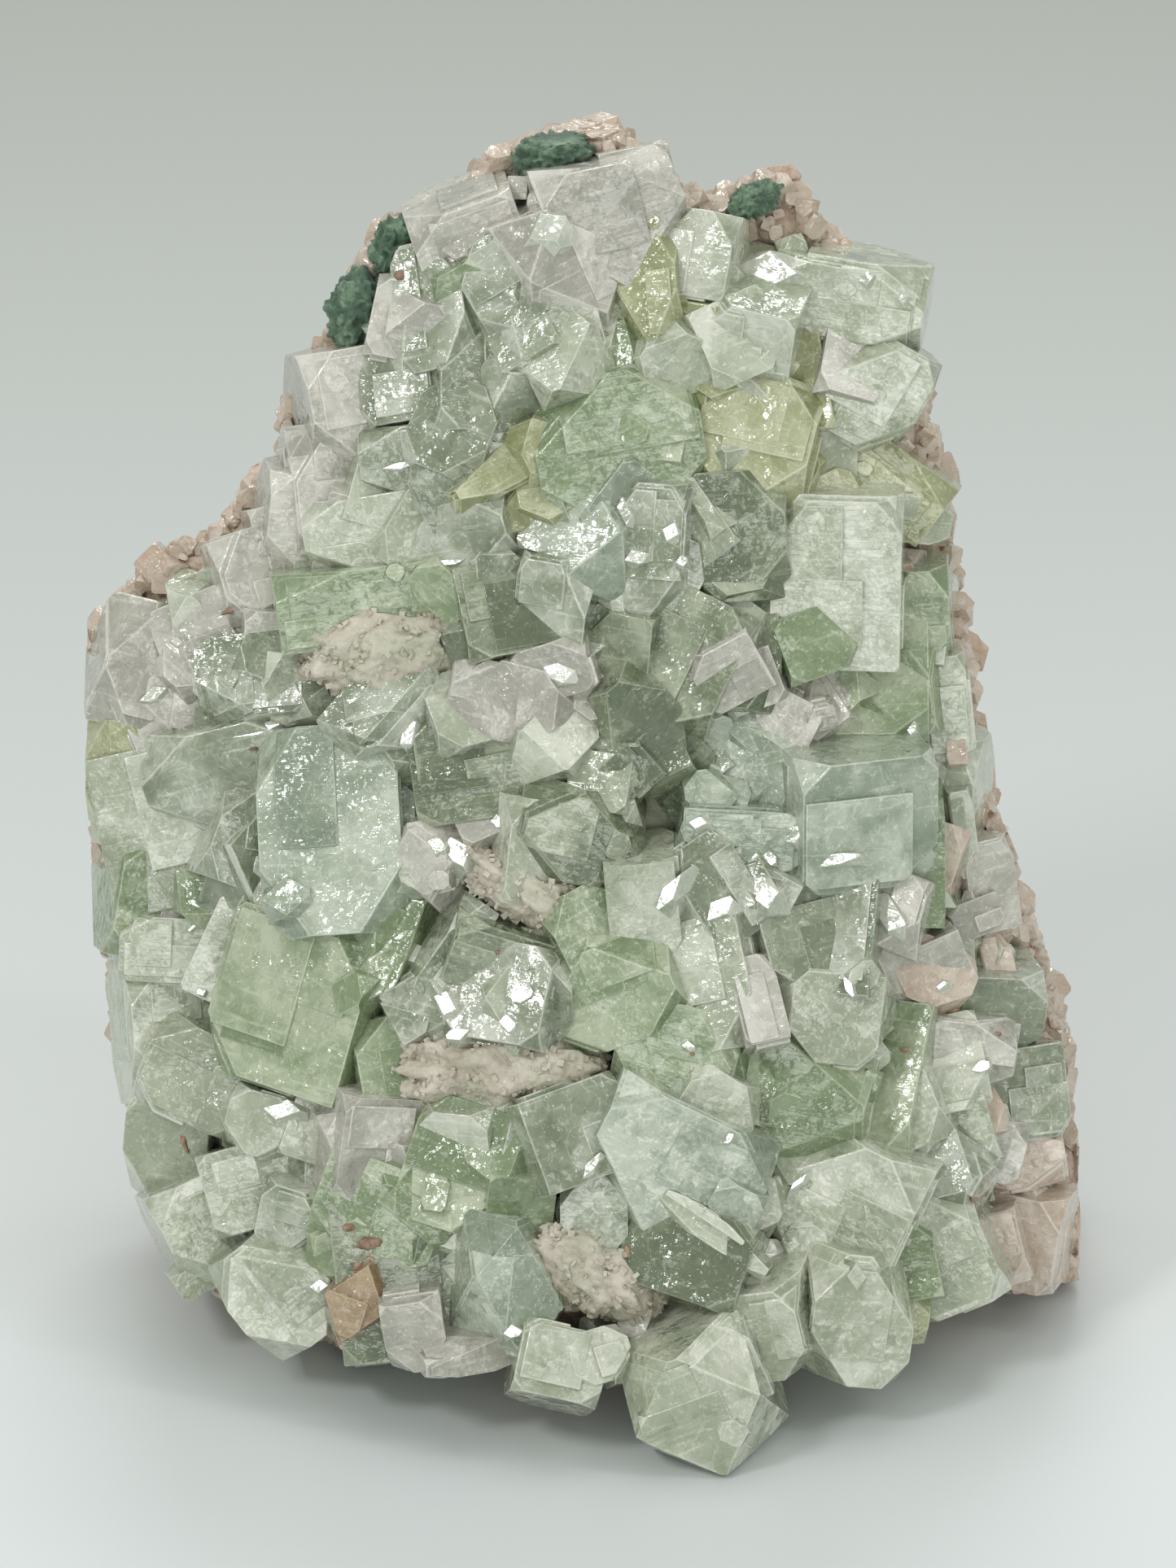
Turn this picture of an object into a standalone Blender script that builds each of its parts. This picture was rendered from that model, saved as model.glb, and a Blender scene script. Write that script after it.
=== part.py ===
# Apophyllite cluster: green blocky crystals grown on a leaning plate of pinkish
# zeolite rock, with crusts of stilbite between them and dark celadonite on the rim.
# Metres, +Z up. The crystal face looks along -Y, and the rock rests on a flat base at z = 0.

import math
import random

import bmesh
import bpy
from mathutils import Matrix, Vector, noise

MM = 0.001

# The layout plane. Places on the crystal face are (across, up) in millimetres along a
# plane that leans back from the vertical, and "out" is the distance in front of it.
FACE_LEAN = math.radians(25)
BASE_UP = 10.0
BASE_SETBACK = 0.2
ACROSS_SHIFT = 0.1

# The face itself leans less than the layout plane and has a belly that is deepest low down.
FACE_STEEPER = 0.176
BELLY_LEAST = 3.0
BELLY_MOST = 17.0
BELLY_FADE = 1.3
SPECIMEN_HEIGHT = 90.0
CENTRE_LINE = 0.5
HALF_WIDTH_LOW = 35.0
HALF_WIDTH_HIGH = 21.0

# The rock behind the crystals.
ROCK_SEAT = 2.4
ROCK_CELL = 2.8
ROCK_COLUMNS = 26
ROCK_ROWS = 34
ROCK_LAYERS = 6
ROCK_ROUGHNESS = 1.5
ROCK_BACK_LOW = -17.0
ROCK_BACK_RISE = 0.35
RIM_ROUGHNESS = 0.7

# Clearance between two grown-together pieces, so that each stays a body of its own.
GAP = 0.3
FLOOR_CLEARANCE = 0.3
CORNER_SCATTER = 0.07
SIZE_SCATTER = 0.03
WELD = 0.00001

ROCK_OUTLINE = [
    (-20.0, 9.5), (-24.5, 12.0), (-27.5, 13.8), (-28.5, 19.0), (-29.0, 24.0), (-31.0, 27.0),
    (-32.2, 34.0), (-32.4, 40.0), (-32.6, 45.0), (-34.2, 50.0), (-33.6, 55.0), (-31.0, 58.5),
    (-29.0, 61.0), (-24.5, 62.5), (-22.5, 66.0), (-20.0, 67.0), (-20.0, 71.0), (-17.5, 75.0),
    (-16.0, 79.0), (-13.0, 84.0), (-9.5, 85.5), (-6.0, 88.0), (-1.5, 90.0), (2.0, 89.6),
    (5.0, 86.5), (8.5, 84.5), (12.5, 87.0), (14.6, 85.5), (15.5, 83.0), (19.5, 80.0),
    (21.0, 75.0), (22.5, 71.0), (23.4, 66.0), (24.4, 61.0), (25.3, 55.0), (25.9, 48.0),
    (28.0, 42.0), (28.4, 39.0), (30.5, 34.0), (32.5, 28.0), (33.5, 21.0), (33.8, 11.8),
    (27.0, 12.0), (20.0, 10.5), (12.0, 8.0), (4.0, 7.0), (-6.0, 8.5), (-14.0, 9.0),
]

# One row for each crystal, front ones first, because a later one gives way to an earlier one:
# name, finish, centre (across, up), size (wide, high, deep), turn in degrees (spin in the
# plane, top tipped forward, right side turned forward), how far it stands proud of the face,
# and how much of its corners the pyramid faces leave (1.5 all, 1.0 half, 0.7 nearly none).
CRYSTALS = [
    ("bottom_crystal", "pale", (7.8, 5.9), (8.6, 9.0, 13.0), (20, 24, 8), 8.0, 1.22),
    ("foot_block_right", "pale", (17.3, 11.2), (6.4, 7.4, 10.5), (-8, 12, -14), 6.0, 1.15),
    ("foot_block_left", "pale", (13.2, 11.3), (4.6, 5.6, 10.0), (14, 22, 18), 6.0, 1.2),
    ("corner_block_right", "pale", (24.0, 15.3), (6.6, 7.8, 8.5), (24, 8, 10), 5.0, 1.15),
    ("slope_block", "pale", (17.3, 18.2), (9.5, 9.0, 8.5), (-24, 14, 6), 4.5, 1.12),
    ("bevelled_block", "blue", (17.4, 45.3), (8.2, 7.8, 10.0), (0, 20, -18), 6.0, 1.2),
    ("tall_clear_block", "pale", (16.9, 60.6), (8.0, 9.8, 8.5), (-1, 12, 4), 4.5, 1.36),
    ("faceted_blue_block", "blue", (-5.8, 12.9), (5.8, 8.4, 9.0), (-6, 8, -16), 5.0, 1.05),
    ("silver_top_block", "pale", (11.6, 77.2), (5.8, 6.6, 7.4), (-8, 36, 10), 3.8, 1.34),
    ("sparkling_block", "clear", (4.9, 62.4), (5.0, 7.6, 7.8), (-3, 8, 14), 4.0, 1.28),
    ("frosted_ball", "frosted", (-9.7, 41.2), (5.0, 5.4, 7.2), (12, 10, 20), 3.6, 0.92),
    ("large_left_block", "blue", (-16.6, 42.6), (8.4, 12.2, 9.0), (3, -6, 8), 4.5, 1.18),
    ("split_block", "clear", (-23.0, 41.4), (5.2, 7.6, 7.8), (-8, -8, -16), 4.0, 1.1),
    ("arrow_crystal", "clear", (-12.8, 50.9), (7.6, 5.6, 8.4), (10, -22, 14), 4.6, 0.98),
    ("green_bar", "green", (-12.6, 59.2), (15.2, 4.4, 7.0), (7, 10, -4), 3.4, 1.3),
    ("bright_edge_block", "clear", (-21.3, 52.6), (7.6, 5.2, 7.4), (3, -16, 10), 3.6, 1.16),
    ("window_crystal", "clear", (-0.6, 43.2), (7.4, 5.4, 8.2), (-14, 6, -8), 4.6, 1.08),
    ("glint_crystal", "frosted", (-1.4, 81.6), (7.6, 7.8, 7.8), (24, 14, -18), 4.0, 1.0),
    ("lemon_crystal", "yellow", (4.8, 80.2), (3.8, 7.6, 7.2), (4, -6, 12), 3.6, 1.14),
    ("down_pyramid", "clear", (-3.8, 72.9), (5.2, 6.0, 7.5), (8, -12, 30), 4.0, 0.84),
    ("pale_upper_block", "pale", (1.7, 69.6), (9.6, 7.8, 7.5), (10, 4, -6), 3.4, 1.08),
    ("olive_block", "yellow", (11.6, 69.3), (7.4, 7.2, 7.0), (-14, -8, 8), 3.6, 1.16),
    ("pointed_right_block", "pale", (19.3, 73.3), (5.4, 6.6, 7.6), (-30, 6, -10), 4.0, 1.12),
    ("pale_right_block", "pale", (18.0, 79.3), (8.8, 4.8, 6.6), (-9, 14, 4), 3.0, 1.22),
    ("long_blade", "yellow", (19.2, 68.2), (10.4, 4.0, 5.8), (-38, 8, 0), 2.2, 1.32),
    ("deep_green_block", "green", (-18.0, 31.0), (9.6, 9.6, 9.0), (-16, 4, 26), 4.0, 1.3),
    ("flat_left_block", "pale", (-27.6, 35.2), (6.4, 3.9, 7.0), (-2, 6, 8), 3.6, 1.36),
    ("lower_left_slab", "pale", (-25.8, 26.3), (6.8, 5.4, 7.0), (-24, 6, 8), 3.6, 1.34),
    ("pale_green_block", "green", (-27.2, 30.0), (8.6, 9.6, 6.5), (4, 0, -14), 1.6, 1.26),
    ("small_cube", "green", (3.7, 47.4), (2.9, 2.7, 6.0), (42, -4, 12), 3.8, 1.42),
    ("blue_green_block", "blue", (4.6, 55.3), (11.0, 8.8, 9.0), (-26, 2, 10), 2.6, 1.14),
    ("rhomb_crystal", "green", (2.4, 33.0), (8.2, 6.8, 8.0), (22, 4, 16), 4.2, 1.08),
    ("striated_grey_crystal", "clear", (-5.6, 35.1), (7.2, 4.2, 7.0), (-20, 16, -10), 3.6, 1.24),
    ("glassy_crystal", "clear", (-9.9, 30.7), (5.2, 5.0, 7.2), (-14, 6, 22), 3.6, 0.98),
    ("arrow_right_crystal", "pale", (16.3, 31.2), (6.4, 6.2, 8.6), (38, 10, -8), 5.2, 1.04),
    ("silver_strip_crystal", "clear", (7.4, 38.6), (4.2, 6.4, 7.8), (32, 6, -22), 4.2, 1.26),
    ("mirror_crystal", "clear", (12.3, 39.0), (4.4, 4.8, 7.8), (-12, -8, 22), 4.4, 1.0),
    ("step_block", "blue", (10.2, 43.0), (7.0, 3.8, 7.0), (-4, 10, -6), 3.6, 1.34),
    ("shelf_block", "blue", (10.0, 47.4), (6.2, 5.4, 6.0), (3, 4, 8), 1.6, 1.2),
    ("belly_crystal", "green", (12.6, 25.6), (12.4, 7.4, 8.5), (-10, 2, 8), 3.2, 1.14),
    ("ridge_crystal", "pale", (5.6, 20.9), (10.4, 7.8, 8.4), (-28, 10, -10), 4.6, 1.06),
    ("lower_green_block", "green", (-7.4, 20.6), (6.6, 8.6, 8.0), (-18, 0, 12), 3.2, 1.14),
    ("corner_block_left", "pale", (-25.4, 16.2), (6.8, 6.8, 7.4), (26, 6, -8), 3.8, 1.12),
    ("foot_crystal_left", "pale", (-20.2, 12.3), (6.4, 6.8, 8.0), (38, 4, 10), 4.6, 1.1),
    ("amber_crystal", "amber", (-14.6, 11.3), (4.0, 5.2, 7.4), (-18, 8, 10), 4.2, 1.1),
    ("green_round_crystal", "green", (1.3, 76.0), (6.2, 6.8, 6.0), (-14, -4, -12), 2.2, 1.08),
    ("lilac_left_block", "frosted", (-17.0, 66.4), (5.4, 7.6, 6.0), (6, 0, -10), 2.6, 1.16),
    ("long_clear_block", "clear", (-9.6, 68.7), (9.4, 4.4, 6.6), (8, 8, 6), 3.2, 1.2),
    ("lilac_round_crystal", "frosted", (-21.8, 59.4), (5.4, 7.6, 6.0), (16, 0, -12), 2.6, 1.02),
    ("lilac_knob", "frosted", (-31.0, 54.6), (5.6, 7.6, 6.5), (-14, 0, -20), 2.0, 0.98),
    ("clear_side_cube", "clear", (29.2, 25.3), (4.8, 5.6, 6.8), (6, 6, -16), 3.4, 1.36),
]

# Crusts and films, lumps rather than crystals: name, finish, centre, size, spin, proud.
CRUSTS = [
    ("stilbite_cap", "stilbite", (-13.4, 54.7), (9.6, 4.8, 5.0), 4, 4.6),
    ("stilbite_middle", "stilbite", (-3.6, 38.9), (8.6, 3.8, 4.5), -28, 3.2),
    ("stilbite_band", "stilbite", (-5.4, 26.8), (13.4, 4.8, 6.0), -3, 3.2),
    ("stilbite_foot", "stilbite", (0.2, 13.6), (6.8, 6.8, 6.5), 10, 4.8),
    ("celadonite_top", "celadonite", (-2.4, 88.9), (4.6, 2.6, 4.0), 14, 0.6),
    ("celadonite_left_upper", "celadonite", (-12.8, 82.4), (2.4, 3.6, 3.6), -14, 0.2),
    ("celadonite_left_lower", "celadonite", (-15.1, 78.3), (3.6, 4.8, 4.2), -12, 0.2),
    ("celadonite_knob", "celadonite", (11.6, 85.9), (2.8, 1.8, 3.2), 30, 0.0),
]

# Colour, roughness and alpha of each finish.
FINISHES = {
    "pale": ((0.56, 0.64, 0.53, 1.0), 0.16, 0.62),
    "blue": ((0.55, 0.66, 0.59, 1.0), 0.14, 0.6),
    "green": ((0.34, 0.46, 0.29, 1.0), 0.16, 0.66),
    "yellow": ((0.47, 0.54, 0.30, 1.0), 0.18, 0.66),
    "clear": ((0.50, 0.56, 0.48, 1.0), 0.1, 0.5),
    "frosted": ((0.62, 0.61, 0.59, 1.0), 0.4, 0.85),
    "amber": ((0.52, 0.36, 0.22, 1.0), 0.3, 0.8),
    "stilbite": ((0.63, 0.54, 0.49, 1.0), 0.55, 1.0),
    "celadonite": ((0.05, 0.13, 0.08, 1.0), 0.75, 1.0),
    "rock": ((0.58, 0.46, 0.38, 1.0), 0.7, 1.0),
}


def clear_scene():
    for old in list(bpy.data.objects):
        bpy.data.objects.remove(old)


def finish(name):
    # Principled material of one finish, made once and shared by its pieces.
    found = bpy.data.materials.get(name)
    if found:
        return found
    colour, roughness, alpha = FINISHES[name]
    made = bpy.data.materials.new(name)
    made.use_nodes = True
    shader = made.node_tree.nodes["Principled BSDF"]
    shader.inputs["Base Color"].default_value = colour
    shader.inputs["Roughness"].default_value = roughness
    shader.inputs["Metallic"].default_value = 0.0
    shader.inputs["Alpha"].default_value = alpha
    return made


def face_depth(across, up):
    # How far the crystal face stands in front of the layout plane, in millimetres.
    height = min(max(up / SPECIMEN_HEIGHT, 0.0), 1.0)
    belly = BELLY_LEAST + BELLY_MOST * (1.0 - height) ** BELLY_FADE
    half_width = HALF_WIDTH_LOW + (HALF_WIDTH_HIGH - HALF_WIDTH_LOW) * height
    side = min(abs(across - CENTRE_LINE) / half_width, 1.0)
    return FACE_STEEPER * (up - BASE_UP) + belly * (1.0 - side * side)


def add_piece(name, bm, finish_name, place, frame):
    mesh = bpy.data.meshes.new(name)
    bmesh.ops.recalc_face_normals(bm, faces=bm.faces)
    bm.to_mesh(mesh)
    bm.free()
    mesh.materials.append(finish(finish_name))
    piece = bpy.data.objects.new(name, mesh)
    bpy.context.scene.collection.objects.link(piece)
    piece.parent = frame
    piece.matrix_basis = place
    return piece


def placed(centre, out, turn=(0, 0, 0)):
    # Where a piece goes in the layout frame, whose y runs into the rock.
    spin, tip, right = (math.radians(angle) for angle in turn)
    turned = Matrix.Rotation(-spin, 4, "Y") @ Matrix.Rotation(tip, 4, "X") @ Matrix.Rotation(-right, 4, "Z")
    place = Vector((centre[0], -out, centre[1] - BASE_UP)) * MM
    return Matrix.Translation(place) @ turned


def cut_flat(bm, point, normal):
    # Takes away what lies on the normal's side of a plane, and closes the solid again.
    geometry = bm.verts[:] + bm.edges[:] + bm.faces[:]
    bmesh.ops.bisect_plane(bm, geom=geometry, plane_co=point, plane_no=normal, clear_outer=True)
    open_edges = [edge for edge in bm.edges if edge.is_boundary]
    if open_edges:
        bmesh.ops.holes_fill(bm, edges=open_edges, sides=0)


def crystal_shape(size, corner, seed, grow):
    # A square prism with its two end planes, whose eight corners the pyramid faces cut off.
    chance = random.Random(seed)
    wide, high, deep = (side * (1.0 + chance.uniform(-SIZE_SCATTER, SIZE_SCATTER)) for side in size)
    bm = bmesh.new()
    bmesh.ops.create_cube(bm, size=1.0)
    whole = Vector((wide + 2 * grow, deep + 2 * grow, high + 2 * grow)) * MM
    bmesh.ops.scale(bm, vec=whole, verts=bm.verts)
    for x_side in (-1, 1):
        for y_side in (-1, 1):
            for z_side in (-1, 1):
                left = corner + chance.uniform(-CORNER_SCATTER, CORNER_SCATTER)
                slope = Vector((x_side / wide, y_side / deep, z_side / high))
                reach = (left / slope.length + grow) * MM
                cut_flat(bm, slope.normalized() * reach, slope.normalized())
    return bm


def crust_shape(size, seed, grow, detail):
    # A lumpy crust: a ball pushed in and out by two scales of bumps.
    bm = bmesh.new()
    bmesh.ops.create_icosphere(bm, subdivisions=detail, radius=0.5)
    for vert in bm.verts:
        bump = noise.noise(vert.co * 5.0 + Vector((seed, 0.0, 0.0)))
        bump += 0.5 * noise.noise(vert.co * 11.0 + Vector((0.0, seed, 0.0)))
        push = 1.0 + 0.22 * bump
        outward = vert.co.normalized() * grow
        vert.co = Vector((vert.co.x * size[0], vert.co.y * size[2], vert.co.z * size[1])) * push + outward
    bmesh.ops.scale(bm, vec=(MM, MM, MM), verts=bm.verts)
    return bm


def inside_outline(across, up):
    # Whether a place lies inside the rock's outline, by counting the sides to its right.
    crossings = 0
    for (x_one, z_one), (x_two, z_two) in zip(ROCK_OUTLINE, ROCK_OUTLINE[1:] + ROCK_OUTLINE[:1]):
        if (z_one > up) != (z_two > up):
            crossings += across < x_one + (up - z_one) * (x_two - x_one) / (z_two - z_one)
    return crossings % 2 == 1


def on_outline(place):
    # The nearest point of the outline.
    corners = [Vector(corner) for corner in ROCK_OUTLINE]
    found = []
    for start, end in zip(corners, corners[1:] + corners[:1]):
        along = (place - start).dot(end - start) / (end - start).length_squared
        point = start.lerp(end, min(max(along, 0.0), 1.0))
        found.append(((place - point).length, point))
    return min(found, key=lambda pair: pair[0])[1]


def rock_shape():
    # The outline as an even sheet, given thickness in layers, then bent to the crystal face
    # in front and to a broken back.
    bm = bmesh.new()
    bmesh.ops.create_grid(bm, x_segments=ROCK_COLUMNS, y_segments=ROCK_ROWS, size=0.5)
    sheet = Vector((ROCK_COLUMNS, ROCK_ROWS, 1.0)) * ROCK_CELL
    bmesh.ops.scale(bm, vec=sheet, verts=bm.verts)
    bmesh.ops.translate(bm, vec=(0.0, SPECIMEN_HEIGHT / 2, 0.0), verts=bm.verts)
    outside = [face for face in bm.faces if not inside_outline(*face.calc_center_median().xy)]
    bmesh.ops.delete(bm, geom=outside, context="FACES")
    rim = [vert for vert in bm.verts if vert.is_boundary]
    for vert in rim:
        vert.co.xy = on_outline(vert.co.xy)
    bmesh.ops.remove_doubles(bm, verts=bm.verts, dist=ROCK_CELL / 4)
    inner = [vert for vert in bm.verts if not vert.is_boundary]
    for _ in range(3):
        bmesh.ops.smooth_vert(bm, verts=inner, factor=0.5, use_axis_x=True, use_axis_y=True)
    moving = bm.faces[:]
    for layer in range(ROCK_LAYERS):
        grown = bmesh.ops.extrude_face_region(bm, geom=moving)
        if layer > 0:
            bmesh.ops.delete(bm, geom=moving, context="FACES")
        moving = [item for item in grown["geom"] if isinstance(item, bmesh.types.BMFace)]
        moved = [item for item in grown["geom"] if isinstance(item, bmesh.types.BMVert)]
        bmesh.ops.translate(bm, vec=(0.0, 0.0, 1.0 / ROCK_LAYERS), verts=moved)
    for vert in bm.verts:
        across, up, inward = vert.co
        face = face_depth(across, up) - ROCK_SEAT
        back = ROCK_BACK_LOW + ROCK_BACK_RISE * (up - BASE_UP)
        out = face + (back - face) * inward
        here = Vector((across, out, up))
        rough = noise.fractal(here * 0.11, 0.7, 2.2, 4) * ROCK_ROUGHNESS
        sway = noise.noise(here * 0.16) * RIM_ROUGHNESS
        lift = noise.noise(here * 0.16 + Vector((40.0, 0.0, 0.0))) * RIM_ROUGHNESS
        vert.co = Vector((across + sway, -out - rough, up - BASE_UP + lift)) * MM
    bmesh.ops.recalc_face_normals(bm, faces=bm.faces)
    return bm


def evaluated(piece):
    # The piece's mesh with its modifiers carried out, in its own coordinates.
    bpy.context.view_layer.update()
    graph = bpy.context.evaluated_depsgraph_get()
    bm = bmesh.new()
    bm.from_mesh(piece.evaluated_get(graph).data)
    return bm


def bounds(piece):
    corners = [piece.matrix_world @ Vector(corner) for corner in piece.bound_box]
    low = Vector([min(corner[axis] for corner in corners) for axis in range(3)])
    high = Vector([max(corner[axis] for corner in corners) for axis in range(3)])
    return low, high


def touching(one, other):
    low, high = bounds(one)
    other_low, other_high = bounds(other)
    return all(low[axis] < other_high[axis] and other_low[axis] < high[axis] for axis in range(3))


def keep_largest(bm):
    # A cut can leave chips beside the main body: only the main body stays.
    unseen = dict.fromkeys(bm.verts)
    bodies = []
    while unseen:
        waiting = [unseen.popitem()[0]]
        body = waiting[:]
        while waiting:
            vert = waiting.pop()
            for edge in vert.link_edges:
                other = edge.other_vert(vert)
                if other in unseen:
                    del unseen[other]
                    body.append(other)
                    waiting.append(other)
        bodies.append(body)
    bodies.sort(key=body_size)
    for body in bodies[:-1]:
        bmesh.ops.delete(bm, geom=body, context="VERTS")


def body_size(body):
    spans = [max(vert.co[axis] for vert in body) - min(vert.co[axis] for vert in body) for axis in range(3)]
    return spans[0] * spans[1] * spans[2]


def carve(piece, cutters):
    # Cuts the grown copies of its neighbours out of a piece, all in one Boolean.
    near = [cutter for cutter in cutters if touching(piece, cutter)]
    if not near:
        return
    group = bpy.data.collections.new(piece.name + "_seats")
    for cutter in near:
        group.objects.link(cutter)
    bpy.context.scene.collection.children.link(group)
    cut = piece.modifiers.new("seat", "BOOLEAN")
    cut.operation = "DIFFERENCE"
    cut.solver = "EXACT"
    cut.operand_type = "COLLECTION"
    cut.collection = group
    bm = evaluated(piece)
    piece.modifiers.remove(cut)
    bpy.data.collections.remove(group)
    keep_largest(bm)
    bmesh.ops.remove_doubles(bm, verts=bm.verts, dist=WELD)
    bmesh.ops.dissolve_degenerate(bm, edges=bm.edges, dist=WELD)
    bm.to_mesh(piece.data)
    bm.free()


def above_floor(piece, clearance):
    to_piece = piece.matrix_world.inverted()
    bm = bmesh.new()
    bm.from_mesh(piece.data)
    down = (to_piece.to_3x3() @ Vector((0.0, 0.0, -1.0))).normalized()
    cut_flat(bm, to_piece @ Vector((0.0, 0.0, clearance)), down)
    bm.to_mesh(piece.data)
    bm.free()


def main():
    clear_scene()
    layout = bpy.data.objects.new("layout", None)
    bpy.context.scene.collection.objects.link(layout)
    layout.rotation_euler = (-FACE_LEAN, 0.0, 0.0)
    layout.location = Vector((ACROSS_SHIFT, BASE_SETBACK, 0.0)) * MM

    pieces = []
    cutters = []
    for seed, (name, kind, centre, size, turn, proud, corner) in enumerate(CRYSTALS):
        out = face_depth(*centre) + proud - size[2] / 2
        place = placed(centre, out, turn)
        pieces.append(add_piece(name, crystal_shape(size, corner, seed, 0.0), kind, place, layout))
        cutters.append(add_piece(name + "_seat", crystal_shape(size, corner, seed, GAP), kind, place, layout))
    for seed, (name, kind, centre, size, spin, proud) in enumerate(CRUSTS):
        out = face_depth(*centre) + proud - size[2] / 2
        place = placed(centre, out, (spin, 0, 0))
        pieces.append(add_piece(name, crust_shape(size, seed, 0.0, 3), kind, place, layout))
        cutters.append(add_piece(name + "_seat", crust_shape(size, seed, GAP, 3), kind, place, layout))

    rock = add_piece("matrix_rock", rock_shape(), "rock", Matrix.Identity(4), layout)
    bpy.context.view_layer.update()
    above_floor(rock, 0.0)
    carve(rock, cutters)
    for order, piece in enumerate(pieces):
        carve(piece, cutters[:order])
        above_floor(piece, FLOOR_CLEARANCE * MM)
    for cutter in cutters:
        bpy.data.objects.remove(cutter)


main()
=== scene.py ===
# Apophyllite cluster on its zeolite rock: the looks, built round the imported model.
# Lengths in the dictionaries are millimetres and angles are degrees unless a note says otherwise.
import math
import random

import bmesh
import bpy
from mathutils import Matrix, Vector, noise


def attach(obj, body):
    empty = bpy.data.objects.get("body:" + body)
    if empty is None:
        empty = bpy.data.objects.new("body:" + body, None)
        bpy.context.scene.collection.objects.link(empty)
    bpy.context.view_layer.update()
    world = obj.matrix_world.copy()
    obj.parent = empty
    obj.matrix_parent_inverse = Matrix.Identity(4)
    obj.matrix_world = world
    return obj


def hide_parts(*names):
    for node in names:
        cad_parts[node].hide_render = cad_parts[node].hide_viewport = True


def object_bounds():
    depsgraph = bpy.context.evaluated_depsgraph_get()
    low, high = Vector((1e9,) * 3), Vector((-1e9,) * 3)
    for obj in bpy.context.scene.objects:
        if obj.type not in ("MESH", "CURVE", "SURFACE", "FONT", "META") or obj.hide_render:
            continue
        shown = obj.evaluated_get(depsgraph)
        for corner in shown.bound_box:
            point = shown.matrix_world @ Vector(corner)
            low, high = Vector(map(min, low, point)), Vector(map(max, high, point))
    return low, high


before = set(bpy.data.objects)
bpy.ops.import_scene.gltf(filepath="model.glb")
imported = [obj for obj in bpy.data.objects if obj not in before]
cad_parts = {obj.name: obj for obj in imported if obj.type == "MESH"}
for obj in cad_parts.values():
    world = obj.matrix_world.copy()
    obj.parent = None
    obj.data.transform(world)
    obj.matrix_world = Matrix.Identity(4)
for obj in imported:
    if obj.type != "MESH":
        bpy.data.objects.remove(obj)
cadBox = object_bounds()
millimetre = 0.001


# The cluster is laid out on a plane that leans back: across and up lie in it, out stands in front.
stand = {
    "lean": 25.0, "baseUp": 10.0, "setback": 0.2, "shift": 0.1,
    "steeper": 0.176, "bellyLeast": 3.0, "bellyMost": 17.0, "bellyFade": 1.3,
    "height": 90.0, "centreLine": 0.5, "halfWidthLow": 35.0, "halfWidthHigh": 21.0,
    "floorGap": 0.3,
}
layout = Matrix.Translation(Vector((stand["shift"], stand["setback"], 0.0)) * millimetre)
layout = layout @ Matrix.Rotation(math.radians(-stand["lean"]), 4, "X")


def faceDepth(across, up):
    height = min(max(up / stand["height"], 0.0), 1.0)
    belly = stand["bellyLeast"] + stand["bellyMost"] * (1.0 - height) ** stand["bellyFade"]
    halfWidth = stand["halfWidthLow"] + (stand["halfWidthHigh"] - stand["halfWidthLow"]) * height
    side = min(abs(across - stand["centreLine"]) / halfWidth, 1.0)
    return stand["steeper"] * (up - stand["baseUp"]) + belly * (1.0 - side * side)


def placed(centre, out, turn):
    spin, tip, right = (math.radians(angle) for angle in turn)
    turned = Matrix.Rotation(-spin, 4, "Y") @ Matrix.Rotation(tip, 4, "X") @ Matrix.Rotation(-right, 4, "Z")
    place = Vector((centre[0], -out, centre[1] - stand["baseUp"])) * millimetre
    return layout @ Matrix.Translation(place) @ turned @ Matrix.Scale(millimetre, 4)


# The rock's outline, as (across, up).
outline = [
    (-20.0, 9.5), (-24.5, 12.0), (-27.5, 13.8), (-28.5, 19.0), (-29.0, 24.0), (-31.0, 27.0),
    (-32.2, 34.0), (-32.4, 40.0), (-32.6, 45.0), (-34.2, 50.0), (-33.6, 55.0), (-31.0, 58.5),
    (-29.0, 61.0), (-24.5, 62.5), (-22.5, 66.0), (-20.0, 67.0), (-20.0, 71.0), (-17.5, 75.0),
    (-16.0, 79.0), (-13.0, 84.0), (-9.5, 85.5), (-6.0, 88.0), (-1.5, 90.0), (2.0, 89.6),
    (5.0, 86.5), (8.5, 84.5), (12.5, 87.0), (14.6, 85.5), (15.5, 83.0), (19.5, 80.0),
    (21.0, 75.0), (22.5, 71.0), (23.4, 66.0), (24.4, 61.0), (25.3, 55.0), (25.9, 48.0),
    (28.0, 42.0), (28.4, 39.0), (30.5, 34.0), (32.5, 28.0), (33.5, 21.0), (33.8, 11.8),
    (27.0, 12.0), (20.0, 10.5), (12.0, 8.0), (4.0, 7.0), (-6.0, 8.5), (-14.0, 9.0),
]


def insideOutline(across, up):
    crossings = 0
    for (xOne, zOne), (xTwo, zTwo) in zip(outline, outline[1:] + outline[:1]):
        if (zOne > up) != (zTwo > up):
            crossings += across < xOne + (up - zOne) * (xTwo - xOne) / (zTwo - zOne)
    return crossings % 2 == 1


def onOutline(place):
    corners = [Vector(corner) for corner in outline]
    found = []
    for start, end in zip(corners, corners[1:] + corners[:1]):
        along = (place - start).dot(end - start) / (end - start).length_squared
        point = start.lerp(end, min(max(along, 0.0), 1.0))
        found.append(((place - point).length, point))
    return min(found, key=lambda pair: pair[0])[1]


def hexColour(text):
    channels = [int(text[start:start + 2], 16) / 255.0 for start in (1, 3, 5)]
    return [c / 12.92 if c <= 0.04045 else ((c + 0.055) / 1.055) ** 2.4 for c in channels] + [1.0]


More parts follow.
